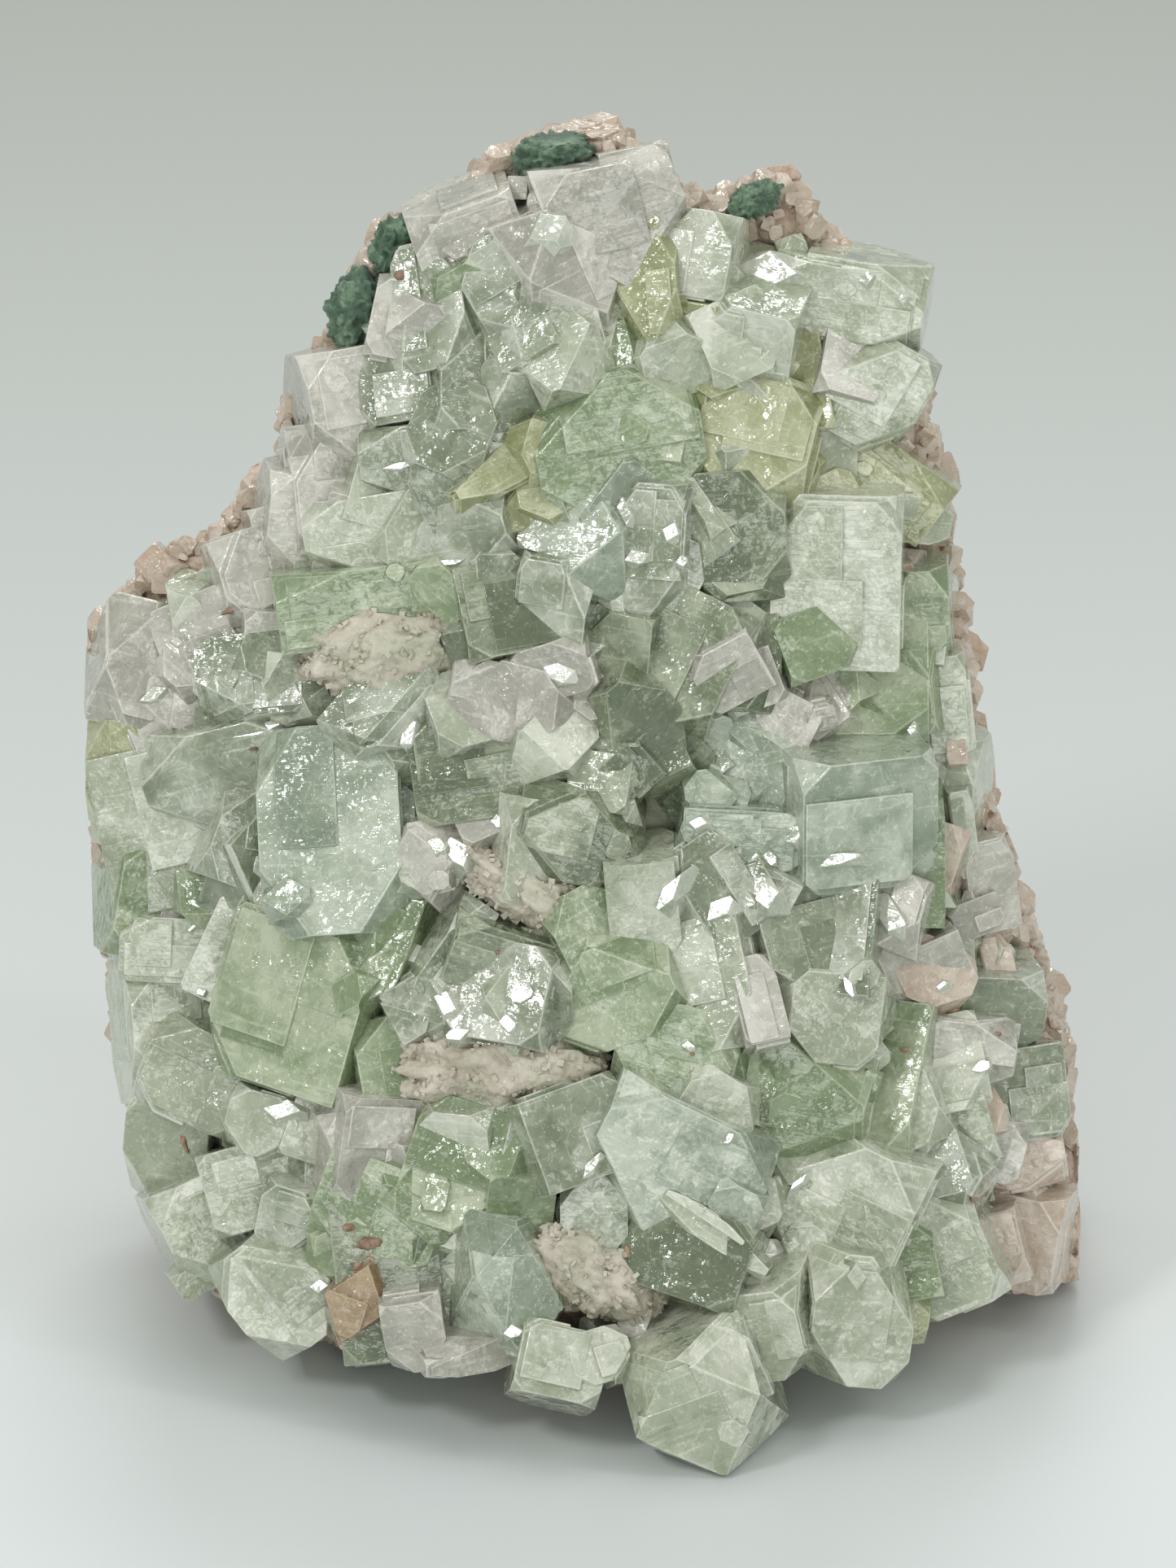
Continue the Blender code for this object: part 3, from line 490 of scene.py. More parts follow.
# One row for each crystal of the frame: name, finish, centre (across, up), size (wide, high, deep),
# turn (spin in the plane, top tipped forward, right side turned forward), how far it stands proud,
# and how much of its corners the pyramid faces leave.
crystals = [
    ("bottom_crystal", "pale", (7.8, 5.9), (7.5, 8.2, 11.0), (24, 20, 10), 6.6, 1.04),
    ("foot_block_right", "pale", (17.3, 11.2), (6.4, 7.4, 10.5), (-8, 12, -14), 6.0, 1.15),
    ("foot_block_left", "pale", (13.2, 11.3), (4.6, 5.6, 10.0), (14, 22, 18), 6.0, 1.2),
    ("corner_block_right", "pale", (24.0, 15.3), (6.6, 7.8, 8.5), (24, 8, 10), 5.0, 1.15),
    ("slope_block", "pale", (17.3, 18.2), (9.5, 9.0, 8.5), (-24, 14, 6), 4.5, 1.12),
    ("bevelled_block", "blue", (17.4, 45.3), (8.2, 7.8, 10.0), (0, 20, -18), 6.0, 1.2),
    ("tall_clear_block", "pale", (16.9, 60.6), (8.0, 9.8, 8.5), (-1, 12, 4), 4.5, 1.36),
    ("faceted_blue_block", "blue", (-5.8, 12.9), (5.8, 8.4, 9.0), (-6, 8, -16), 5.0, 1.05),
    ("silver_top_block", "pale", (11.6, 77.2), (5.8, 6.6, 7.4), (-8, 36, 10), 3.8, 1.34),
    ("sparkling_block", "clear", (4.9, 62.4), (5.0, 7.6, 7.8), (-3, 8, 14), 4.0, 1.28),
    ("frosted_ball", "frosted", (-9.7, 41.2), (5.0, 5.4, 7.2), (12, 10, 20), 3.6, 0.92),
    ("large_left_block", "blue", (-16.6, 42.6), (8.4, 12.2, 9.0), (3, -6, 8), 4.5, 1.18),
    ("split_block", "clear", (-23.0, 41.4), (5.2, 7.6, 7.8), (-8, -8, -16), 4.0, 1.1),
    ("arrow_crystal", "clear", (-12.8, 50.9), (7.6, 5.6, 8.4), (10, -22, 14), 4.6, 0.98),
    ("green_bar", "green", (-12.6, 59.2), (15.2, 4.4, 7.0), (7, 10, -4), 3.4, 1.3),
    ("bright_edge_block", "clear", (-21.3, 52.6), (7.6, 5.2, 7.4), (3, -16, 10), 3.6, 1.16),
    ("window_crystal", "dusky", (-0.6, 43.2), (7.4, 5.4, 8.2), (-14, 6, -8), 4.6, 1.08),
    ("glint_crystal", "frosted", (-1.4, 81.6), (7.6, 7.8, 7.8), (24, 14, -18), 4.0, 1.0),
    ("lemon_crystal", "yellow", (4.8, 80.2), (3.8, 7.6, 7.2), (4, -6, 12), 3.6, 1.14),
    ("down_pyramid", "clear", (-3.8, 72.9), (5.2, 6.0, 7.5), (8, -12, 30), 4.0, 0.84),
    ("pale_upper_block", "green", (1.7, 69.6), (9.6, 7.8, 7.5), (10, 4, -6), 3.4, 1.08),
    ("olive_block", "yellow", (11.6, 69.3), (7.4, 7.2, 7.0), (-14, -8, 8), 3.6, 1.16),
    ("pointed_right_block", "pale", (19.3, 73.3), (5.4, 6.6, 7.6), (-30, 6, -10), 4.0, 1.12),
    ("pale_right_block", "pale", (18.0, 79.3), (8.8, 4.8, 6.6), (-9, 14, 4), 3.0, 1.22),
    ("long_blade", "yellow", (19.2, 68.2), (10.4, 4.0, 5.8), (-38, 8, 0), 2.2, 1.32),
    ("deep_green_block", "green", (-18.0, 31.0), (9.6, 9.6, 9.0), (-16, 4, 26), 4.0, 1.3),
    ("flat_left_block", "pale", (-27.6, 35.2), (6.4, 3.9, 7.0), (-2, 6, 8), 3.6, 1.36),
    ("lower_left_slab", "pale", (-25.8, 26.3), (6.8, 5.4, 7.0), (-24, 6, 8), 3.6, 1.34),
    ("pale_green_block", "pale", (-27.2, 30.0), (8.6, 9.6, 6.5), (4, 0, -14), 1.6, 1.26),
    ("small_cube", "dusky", (3.7, 47.4), (2.9, 2.7, 6.0), (42, -4, 12), 3.8, 1.42),
    ("blue_green_block", "dusky", (4.6, 55.3), (11.0, 8.8, 9.0), (-26, 2, 10), 2.6, 1.14),
    ("rhomb_crystal", "green", (2.4, 33.0), (8.2, 6.8, 8.0), (22, 4, 16), 4.2, 1.08),
    ("striated_grey_crystal", "dusky", (-5.6, 35.1), (7.2, 4.2, 7.0), (-20, 16, -10), 3.6, 1.24),
    ("glassy_crystal", "clear", (-9.9, 30.7), (5.2, 5.0, 7.2), (-14, 6, 22), 3.6, 0.98),
    ("arrow_right_crystal", "pale", (16.3, 31.2), (6.4, 6.2, 8.6), (38, 10, -8), 5.2, 1.04),
    ("silver_strip_crystal", "clear", (7.4, 38.6), (4.2, 6.4, 7.8), (32, 6, -22), 4.2, 1.26),
    ("mirror_crystal", "clear", (12.3, 39.0), (4.4, 4.8, 7.8), (-12, -8, 22), 4.4, 1.0),
    ("step_block", "blue", (10.2, 43.0), (7.0, 3.8, 7.0), (-4, 10, -6), 3.6, 1.34),
    ("shelf_block", "blue", (10.0, 47.4), (6.2, 5.4, 6.0), (3, 4, 8), 1.6, 1.2),
    ("belly_crystal", "green", (12.6, 25.6), (12.4, 7.4, 8.5), (-10, 2, 8), 3.2, 1.14),
    ("ridge_crystal", "blue", (5.6, 20.9), (10.4, 7.8, 8.4), (-28, 10, -10), 4.6, 1.06),
    ("lower_green_block", "green", (-7.4, 20.6), (6.6, 8.6, 8.0), (-18, 0, 12), 3.2, 1.14),
    ("corner_block_left", "pale", (-25.4, 16.2), (6.8, 6.8, 7.4), (26, 6, -8), 3.8, 1.12),
    ("foot_crystal_left", "pale", (-20.2, 12.3), (6.4, 6.8, 8.0), (38, 4, 10), 4.6, 1.1),
    ("amber_crystal", "amber", (-14.6, 11.3), (4.0, 5.2, 7.4), (-18, 8, 10), 4.2, 1.1),
    ("green_round_crystal", "green", (1.3, 76.0), (6.2, 6.8, 6.0), (-14, -4, -12), 2.2, 1.08),
    ("lilac_left_block", "frosted", (-17.0, 66.4), (5.4, 7.6, 6.0), (6, 0, -10), 2.6, 1.16),
    ("long_clear_block", "clear", (-9.6, 68.7), (9.4, 4.4, 6.6), (8, 8, 6), 3.2, 1.2),
    ("lilac_round_crystal", "frosted", (-21.8, 59.4), (5.4, 7.6, 6.0), (16, 0, -12), 2.6, 1.02),
    ("lilac_knob", "frosted", (-31.0, 54.6), (5.6, 7.6, 6.5), (-14, 0, -20), 2.0, 0.98),
    ("clear_side_cube", "clear", (29.2, 25.3), (4.8, 5.6, 6.8), (6, 6, -16), 3.4, 1.36),
]

for seed, (node, kind, centre, size, turn, proud, corner) in enumerate(crystals):
    out = faceDepth(*centre) + proud - size[2] / 2
    solids = growCrystal(size, corner, placed(centre, out, turn), seed, growth["stepCount"], growth["perched"])
    addPiece(node + "_grown", joined(solids), kind, [node])
print("crystals of the frame grown:", len(crystals))


# Smaller crystals between them: finish, centre (across, up), wide, high, spin, how far proud.
fillers = [
    ("frosted", 1.5, 84.5, 6.6, 6.4, 14, 2.6), ("pale", 8.1, 81.9, 3.3, 4.0, -10, 2.2),
    ("frosted", -8.0, 83.6, 5.0, 4.0, 20, 1.2), ("clear", -9.2, 78.0, 3.5, 6.0, 8, 2.2),
    ("frosted", -12.3, 77.2, 3.5, 4.0, -12, 1.6), ("clear", -4.8, 80.0, 4.4, 4.4, 30, 2.6),
    ("clear", -2.0, 76.5, 4.4, 4.0, 15, 2.8), ("green", -7.3, 78.0, 1.8, 3.2, 0, 1.2),
    ("clear", -11.8, 73.5, 3.6, 4.2, 6, 2.2), ("clear", -7.8, 72.8, 5.2, 5.2, 0, 2.6),
    ("frosted", -16.0, 72.2, 5.0, 5.4, 10, 1.8), ("frosted", -18.5, 64.5, 5.0, 5.0, -6, 1.4),
    ("pale", -12.0, 63.5, 9.0, 4.6, 10, 2.0), ("clear", -7.7, 63.2, 5.0, 3.5, 14, 2.8),
    ("yellow", -5.5, 67.0, 7.0, 2.2, 30, 2.6), ("yellow", -4.2, 65.0, 5.5, 1.8, 36, 2.4),
    ("blue", -0.2, 63.3, 6.2, 6.6, -12, 2.8), ("dusky", 10.2, 63.1, 5.5, 6.0, 4, 3.0),
    ("pale", 20.5, 65.0, 5.0, 2.4, -10, 2.2), ("frosted", -25.5, 56.0, 4.0, 4.0, 20, 2.0),
    ("frosted", -26.5, 52.0, 4.5, 3.2, -8, 1.8), ("frosted", -29.0, 48.3, 3.2, 3.2, 25, 1.6),
    ("clear", -24.0, 48.0, 7.6, 5.0, 18, 2.4), ("yellow", -31.0, 47.0, 4.0, 6.6, 0, 1.0),
    ("pale", -28.5, 44.0, 6.0, 7.6, 14, 1.8), ("green", -28.5, 39.0, 6.6, 6.6, -10, 1.4),
    ("dusky", -5.0, 57.5, 5.5, 4.5, 12, 2.6), ("clear", -1.5, 58.0, 3.4, 6.0, -6, 3.0),
    ("frosted", -2.0, 54.3, 3.6, 2.6, 18, 3.2), ("frosted", -6.5, 53.0, 4.0, 3.0, -14, 2.6),
    ("frosted", 9.5, 54.5, 3.2, 3.0, 30, 3.4), ("frosted", 15.6, 51.1, 1.5, 1.4, 10, 3.2),
    ("dusky", -6.0, 47.5, 8.0, 5.4, 8, 1.6), ("dusky", -7.5, 50.7, 5.0, 3.0, 4, 1.8),
    ("pale", 3.9, 38.5, 3.2, 5.0, 6, 3.6), ("frosted", 20.5, 37.3, 4.0, 3.6, -16, 3.8),
    ("clear", 17.0, 37.0, 5.0, 8.6, -6, 3.2), ("pale", 8.0, 32.5, 6.0, 6.6, 12, 3.2),
    ("frosted", 11.3, 31.2, 2.2, 4.2, 14, 5.0), ("clear", -4.9, 31.5, 5.2, 4.6, -12, 3.4),
    ("clear", -9.5, 35.5, 1.6, 5.2, -35, 3.2), ("green", 6.0, 27.5, 5.4, 6.0, -14, 3.0),
    ("pale", 8.6, 15.6, 6.2, 1.4, -34, 4.2), ("dusky", 7.3, 14.0, 6.0, 4.2, -20, 3.4),
    ("clear", -1.3, 22.4, 5.0, 4.6, 20, 4.0), ("frosted", -14.5, 22.2, 5.0, 5.6, -8, 3.2),
    ("green", -13.5, 17.8, 6.0, 4.2, -20, 2.6), ("dusky", -12.0, 13.0, 7.0, 8.0, 6, 1.2),
    ("pale", -28.0, 22.0, 4.0, 5.6, -6, 1.8), ("pale", -22.5, 19.0, 5.0, 4.0, 16, 3.0),
    ("clear", -19.7, 17.2, 2.6, 3.2, -12, 3.4), ("frosted", -11.5, 9.7, 2.8, 3.4, 10, 4.0),
    ("frosted", -7.0, 8.6, 6.0, 1.6, 4, 3.0), ("pale", -2.0, 6.9, 4.2, 3.4, -12, 4.2),
    ("pale", 0.4, 7.4, 3.0, 2.6, 18, 4.0), ("green", 21.3, 13.5, 4.0, 4.0, 10, 3.4),
    ("yellow", 20.8, 10.4, 3.4, 2.6, -8, 2.6), ("clear", 24.0, 19.5, 4.6, 4.0, -30, 4.2),
    ("frosted", 24.5, 29.0, 6.0, 3.0, -10, 2.4), ("pale", 24.5, 26.5, 4.0, 4.6, 12, 2.6),
    ("frosted", 22.5, 34.0, 4.0, 3.0, 20, 2.4), ("clear", 27.0, 31.5, 5.0, 4.0, -8, 2.0),
    ("pale", 24.3, 52.0, 2.4, 5.0, 6, 1.6), ("pale", 25.6, 46.0, 2.2, 5.0, -4, 1.4),
    ("frosted", 26.8, 39.7, 2.4, 4.4, 8, 1.4), ("green", 22.5, 53.0, 2.8, 4.0, 6, 2.2),
    ("dusky", 10.0, 56.5, 6.0, 8.6, -4, 0.8), ("green", 17.0, 53.0, 9.0, 6.6, 0, -0.2),
    ("green", 22.0, 57.5, 4.0, 6.0, 4, 1.4), ("yellow", 7.4, 74.5, 3.6, 7.0, -6, 1.0),
    ("yellow", 14.5, 73.0, 4.0, 5.0, 10, 1.2), ("green", 20.5, 42.0, 5.0, 8.0, 0, 1.6),
    ("green", -14.0, 35.0, 5.0, 5.0, -20, 1.8), ("green", 20.5, 25.5, 4.6, 7.0, -12, 2.2),
    ("pale", 25.5, 23.0, 3.6, 4.0, 14, 3.0), ("green", -12.5, 27.0, 5.0, 4.6, 10, 2.2),
    ("pale", -21.5, 23.4, 3.4, 3.0, -14, 3.8), ("clear", 14.0, 35.0, 4.0, 3.6, 16, 3.6),
    ("pale", 24.2, 57.0, 1.2, 4.6, -6, 1.8), ("peach", 25.2, 50.0, 1.0, 4.2, 4, 1.8),
    ("pale", 25.4, 43.5, 1.1, 4.4, 8, 1.8), ("frosted", 26.4, 36.0, 1.2, 4.0, -6, 1.6),
    ("peach", 27.6, 34.0, 1.6, 3.0, 12, 1.4), ("peach", 29.6, 20.4, 4.6, 2.4, 10, 1.8),
    ("frosted", 27.4, 21.8, 3.4, 3.0, -16, 2.4), ("peach", 30.4, 15.6, 4.0, 4.6, -8, 1.2),
    ("peach", 27.6, 14.6, 3.6, 3.6, 14, 1.8), ("frosted", 26.0, 36.9, 2.6, 1.8, 20, 2.0),
]

byKind = {}
for number, (kind, across, up, wide, high, spin, proud) in enumerate(fillers):
    chance = random.Random(300 + number)
    deep = 0.5 * (wide + high) + 1.6
    turn = (spin, chance.uniform(-14, 22), chance.uniform(-22, 22))
    place = placed((across, up), faceDepth(across, up) + proud + 1.0 - deep / 2, turn)
    size = (1.25 * wide, 1.25 * high, deep)
    solids = growCrystal(size, chance.uniform(1.08, 1.42), place, 300 + number, 2, 0)
    byKind.setdefault(kind, []).extend(solids)
for kind, solids in byKind.items():
    addPiece("between_" + kind, joined(solids), kind)
print("smaller crystals grown:", len(fillers))


crust = {"detail": 5, "bumps": 0.22, "sugar": 0.10, "knots": 0.5, "blades": 420, "bladeWide": (0.2, 0.5), "raised": 0.8}
crusts = [
    ("stilbite_cap", "stilbite", (-13.4, 55.0), (11.4, 6.0, 6.0), 4, 5.4),
    ("stilbite_middle", "stilbite", (-3.6, 38.9), (10.4, 4.6, 5.4), -28, 3.9),
    ("stilbite_band", "stilbite", (-5.4, 26.8), (15.0, 6.0, 7.0), -3, 4.1),
    ("stilbite_foot", "stilbite", (0.2, 13.4), (9.6, 5.4, 6.4), -28, 4.2),
    ("celadonite_top", "celadonite", (-2.4, 88.7), (5.4, 3.2, 4.4), 14, 0.9),
    ("celadonite_left_upper", "celadonite", (-13.0, 82.5), (3.0, 4.4, 4.0), -14, 0.8),
    ("celadonite_left_lower", "celadonite", (-15.3, 78.3), (4.2, 5.6, 4.6), -12, 1.2),
    ("celadonite_knob", "celadonite", (11.4, 85.7), (3.6, 2.2, 3.4), 30, 0.4),
]


# Druse: hundreds of crystals of 1 to 4 mm that line the rest of the face.
druse = {"count": 640, "least": 2.0, "most": 5.6, "rimLeast": 0.7, "rimMost": 2.0, "bevel": 0.06, "seat": -0.3,
         "bareRim": 1.6, "rimBand": 6.0}


centres = [(row[1], Vector(row[2])) for row in crystals] + [(row[0], Vector(row[1:3])) for row in fillers]


def druseKind(across, up, fromRim, chance):
    # Peach on the right flank, frosted by the rim, and elsewhere like the nearest bigger crystal.
    if across > 21.5 + 0.09 * max(45.0 - up, 0.0) - 2.0 * chance.random():
        return chance.choice(("peach", "peach", "frosted", "pale"))
    if fromRim < 3.0 + 3.0 * chance.random():
        return "frosted" if chance.random() < 0.7 else "pale"
    kind = min(centres, key=lambda row: (row[1] - Vector((across, up))).length)[0]
    return "green" if kind == "amber" else chance.choice((kind, kind, kind, "pale"))


def onCrust(across, up, margin):
    for _, _, centre, size, _, _ in crusts:
        if ((across - centre[0]) / (size[0] / 2 + margin)) ** 2 + ((up - centre[1]) / (size[1] / 2 + margin)) ** 2 < 1.0:
            return True
    return False


chance = random.Random(77)
byKind = {}
grown = 0
while grown < druse["count"]:
    across, up = chance.uniform(-34.0, 34.0), chance.uniform(8.0, 89.0)
    if not insideOutline(across, up) or onCrust(across, up, 0.6):
        continue
    fromRim = (Vector((across, up)) - onOutline(Vector((across, up)))).length
    if fromRim < druse["bareRim"] * chance.uniform(0.3, 1.3):
        continue
    inner = min(fromRim / druse["rimBand"], 1.0)
    least = druse["rimLeast"] + (druse["least"] - druse["rimLeast"]) * inner
    most = druse["rimMost"] + (druse["most"] - druse["rimMost"]) * inner
    wide = least + (most - least) * chance.random() ** 1.4
    high, deep = wide * chance.uniform(0.8, 1.5), wide * chance.uniform(1.0, 1.6)
    kind = druseKind(across, up, fromRim, chance)
    turn = (chance.uniform(-45, 45), chance.uniform(-26, 26), chance.uniform(-26, 26))
    out = faceDepth(across, up) - druse["seat"] - (1.0 - inner) * 1.0 + chance.uniform(-0.3, 0.8)
    planes = cornerPlanes((wide, high, deep), chance.uniform(1.0, 1.4), chance, 0.15)
    solid = block((wide, high, deep), (0.0, 0.0, 0.0), planes, 0.0)
    dress(solid, placed((across, up), out, turn), druse["bevel"], 90000 + grown)
    byKind.setdefault(kind, []).append(solid)
    grown += 1
for kind, solids in byKind.items():
    addPiece("druse_" + kind, joined(solids), kind)
print("druse grown:", grown)


def crustLump(size, place, seed, kind, detail=crust["detail"]):
    # The same lump as the frame's, with sugary or knotted relief on it.
    bm = bmesh.new()
    bmesh.ops.create_icosphere(bm, subdivisions=detail, radius=0.5)
    for vert in bm.verts:
        start = vert.co.copy()
        bump = noise.noise(start * 5.0 + Vector((seed, 0.0, 0.0)))
        bump += 0.5 * noise.noise(start * 11.0 + Vector((0.0, seed, 0.0)))
        push = 1.0 + crust["bumps"] * bump
        vert.co = Vector((start.x * size[0], start.y * size[2], start.z * size[1])) * push
        here = vert.co + Vector((30.0 * seed, 0.0, 0.0))
        if kind == "stilbite":
            relief = 1.6 * noise.noise(here * 0.9) + crust["sugar"] * 8.0 * (noise.noise(here * 2.4) - 0.3)
            relief *= 0.22
        elif kind == "limonite":
            relief = 0.15 * noise.noise(here * 2.0)
        else:
            relief = crust["knots"] * (0.6 - abs(noise.noise(here * 1.5)) * 2.0 - 0.6 * abs(noise.noise(here * 3.6)))
        vert.co += start.normalized() * relief
        vert.co = place @ vert.co
    for face in bm.faces:
        face.smooth = True
    return bm


def sugar(lump, seed):
    # Tiny stilbite blades that stand all over a crust, leaning any way.
    own = random.Random(700 + seed)
    lump.normal_update()
    solids = []
    for vert in own.sample(list(lump.verts), crust["blades"]):
        wide = own.uniform(*crust["bladeWide"])
        size = (wide, wide * own.uniform(1.0, 2.2), wide * own.uniform(0.35, 0.8))
        turn = vert.normal.to_track_quat("Z", "Y").to_matrix().to_4x4()
        turn = turn @ Matrix.Rotation(own.uniform(0.0, 6.28), 4, "Z") @ Matrix.Rotation(own.uniform(-0.7, 0.7), 4, "X")
        solid = block(size, (0.0, 0.0, 0.0), [], 0.0)
        dress(solid, Matrix.Translation(vert.co - vert.normal * 0.15 * wide * millimetre) @ turn @ Matrix.Scale(millimetre, 4), 0.0, 7000 + seed)
        solids.append(solid)
    return solids


for seed, (node, kind, centre, size, spin, proud) in enumerate(crusts):
    raised = crust["raised"]
    out = faceDepth(*centre) + proud + raised - size[2] / 2
    lump = crustLump(size, placed(centre, out, (spin, 0, 0)), seed, kind)
    grains = sugar(lump, seed) if kind == "stilbite" else []
    addPiece(node + "_crust", joined([lump] + grains), kind, [node])
print("crusts made:", len(crusts))


rock = {
    "seat": 1.7, "cell": 1.1, "columns": 66, "rows": 86, "layers": 18, "smoothing": 6,
    "roughness": 1.5, "backLow": -17.0, "backRise": 0.35, "rimRoughness": 0.7, "grain": 0.42,
}


def rockSolid():
    bm = bmesh.new()
    bmesh.ops.create_grid(bm, x_segments=rock["columns"], y_segments=rock["rows"], size=0.5)
    span = Vector((rock["columns"], rock["rows"], 1.0)) * rock["cell"]
    bmesh.ops.scale(bm, vec=span, verts=bm.verts)
    bmesh.ops.translate(bm, vec=(0.0, stand["height"] / 2, 0.0), verts=bm.verts)
    outside = [face for face in bm.faces if not insideOutline(*face.calc_center_median().xy)]
    bmesh.ops.delete(bm, geom=outside, context="FACES")
    for vert in [vert for vert in bm.verts if vert.is_boundary]:
        vert.co.xy = onOutline(vert.co.xy)
    bmesh.ops.remove_doubles(bm, verts=bm.verts, dist=rock["cell"] / 4)
    inner = [vert for vert in bm.verts if not vert.is_boundary]
    for _ in range(rock["smoothing"]):
        bmesh.ops.smooth_vert(bm, verts=inner, factor=0.5, use_axis_x=True, use_axis_y=True)
    # heart: how far in from the rim a point lies on the front face; it sets the painted gap light of the rock colour
    # and which rim points get crumbs.
    fromRim = bm.verts.layers.float.new("heart")
    for vert in bm.verts:
        vert[fromRim] = min((vert.co.xy - onOutline(vert.co.xy)).length / 9.0, 1.0)
    moving = bm.faces[:]
    for layer in range(rock["layers"]):
        grown = bmesh.ops.extrude_face_region(bm, geom=moving)
        if layer > 0:
            bmesh.ops.delete(bm, geom=moving, context="FACES")
        moving = [item for item in grown["geom"] if isinstance(item, bmesh.types.BMFace)]
        moved = [item for item in grown["geom"] if isinstance(item, bmesh.types.BMVert)]
        bmesh.ops.translate(bm, vec=(0.0, 0.0, 1.0 / rock["layers"]), verts=moved)
    inwardLayer = bm.verts.layers.float.new("inward")
    heart = bm.verts.layers.float.get("heart")
    for vert in bm.verts:
        across, up, inward = vert.co
        vert[inwardLayer] = inward
        vert[heart] = vert[heart] if inward < 0.02 and across < 21.0 else 0.0
        face = faceDepth(across, up) - rock["seat"]
        back = rock["backLow"] + rock["backRise"] * (up - stand["baseUp"])
        out = face + (back - face) * inward
        here = Vector((across, out, up))
        rough = noise.fractal(here * 0.11, 0.7, 2.2, 4) * rock["roughness"]
        sway = noise.noise(here * 0.16) * rock["rimRoughness"]
        lift = noise.noise(here * 0.16 + Vector((40.0, 0.0, 0.0))) * rock["rimRoughness"]
        vert.co = Vector((across + sway, -out - rough, up - stand["baseUp"] + lift)) * millimetre
    bmesh.ops.recalc_face_normals(bm, faces=bm.faces)
    bmesh.ops.subdivide_edges(bm, edges=bm.edges, cuts=1, use_grid_fill=True)
    bm.normal_update()
    toward = [vert.normal.copy() for vert in bm.verts]
    for vert, normal in zip(bm.verts, toward):
        here = vert.co / millimetre
        grain = abs(noise.noise(here * 0.45)) + 0.6 * abs(noise.noise(here * 1.1)) - 0.45
        grain += 0.35 * noise.noise(here * 2.1)
        vert.co += normal * grain * rock["grain"] * 1.8 * millimetre
        vert.co = layout @ vert.co
    cutFlat(bm, Vector((0.0, 0.0, 0.0)), Vector((0.0, 0.0, -1.0)))
    for face in bm.faces:
        face.smooth = True
    return bm


# Broken crystal grains that cover the rim and the sides of the plate, and coarser ones behind.
crumb = {"front": 2300, "rear": 380, "least": 0.5, "most": 1.7, "rearLeast": 0.7, "rearMost": 2.4, "behind": 0.6,
         "sunk": 0.25}


def crumbs(plate):
    own = random.Random(55)
    plate.normal_update()
    inward = plate.verts.layers.float.get("inward")
    heart = plate.verts.layers.float.get("heart")
    wall = [vert for vert in plate.verts if vert[heart] < 0.45 and vert.co.z > 1.5 * millimetre]
    found = {"peach": [], "rock": []}
    front = [vert for vert in wall if vert[inward] <= crumb["behind"]]
    rear = [vert for vert in wall if vert[inward] > crumb["behind"]]
    chosen = [(vert, False) for vert in own.sample(front, crumb["front"])]
    chosen += [(vert, True) for vert in own.sample(rear, crumb["rear"])]
    for vert, atBack in chosen:
        least, most = ("rearLeast", "rearMost") if atBack else ("least", "most")
        wide = own.uniform(crumb[least], crumb[most])
        size = (wide, wide * own.uniform(0.7, 1.4), wide * own.uniform(0.6, 1.2))
        turn = vert.normal.to_track_quat("-Y", "Z").to_matrix().to_4x4()
        for axis in "XYZ":
            turn = turn @ Matrix.Rotation(own.uniform(-0.6, 0.6), 4, axis)
        planes = cornerPlanes(size, own.uniform(0.9, 1.3), own, 0.2)
        solid = block(size, (0.0, 0.0, 0.0), planes, 0.0)
        seat = Matrix.Translation(vert.co - vert.normal * crumb["sunk"] * wide * millimetre)
        dress(solid, seat @ turn @ Matrix.Scale(millimetre, 4), 0.0, 12000 + vert.index)
        found["rock" if atBack and own.random() < 0.6 else "peach"].append(solid)
    return found


plate = rockSolid()
grains = crumbs(plate)
addPiece("rock_plate", joined([plate] + grains["rock"]), "rock", ["matrix_rock"])
addPiece("rim_crumbs", joined(grains["peach"]), "peach")
print("rock made")


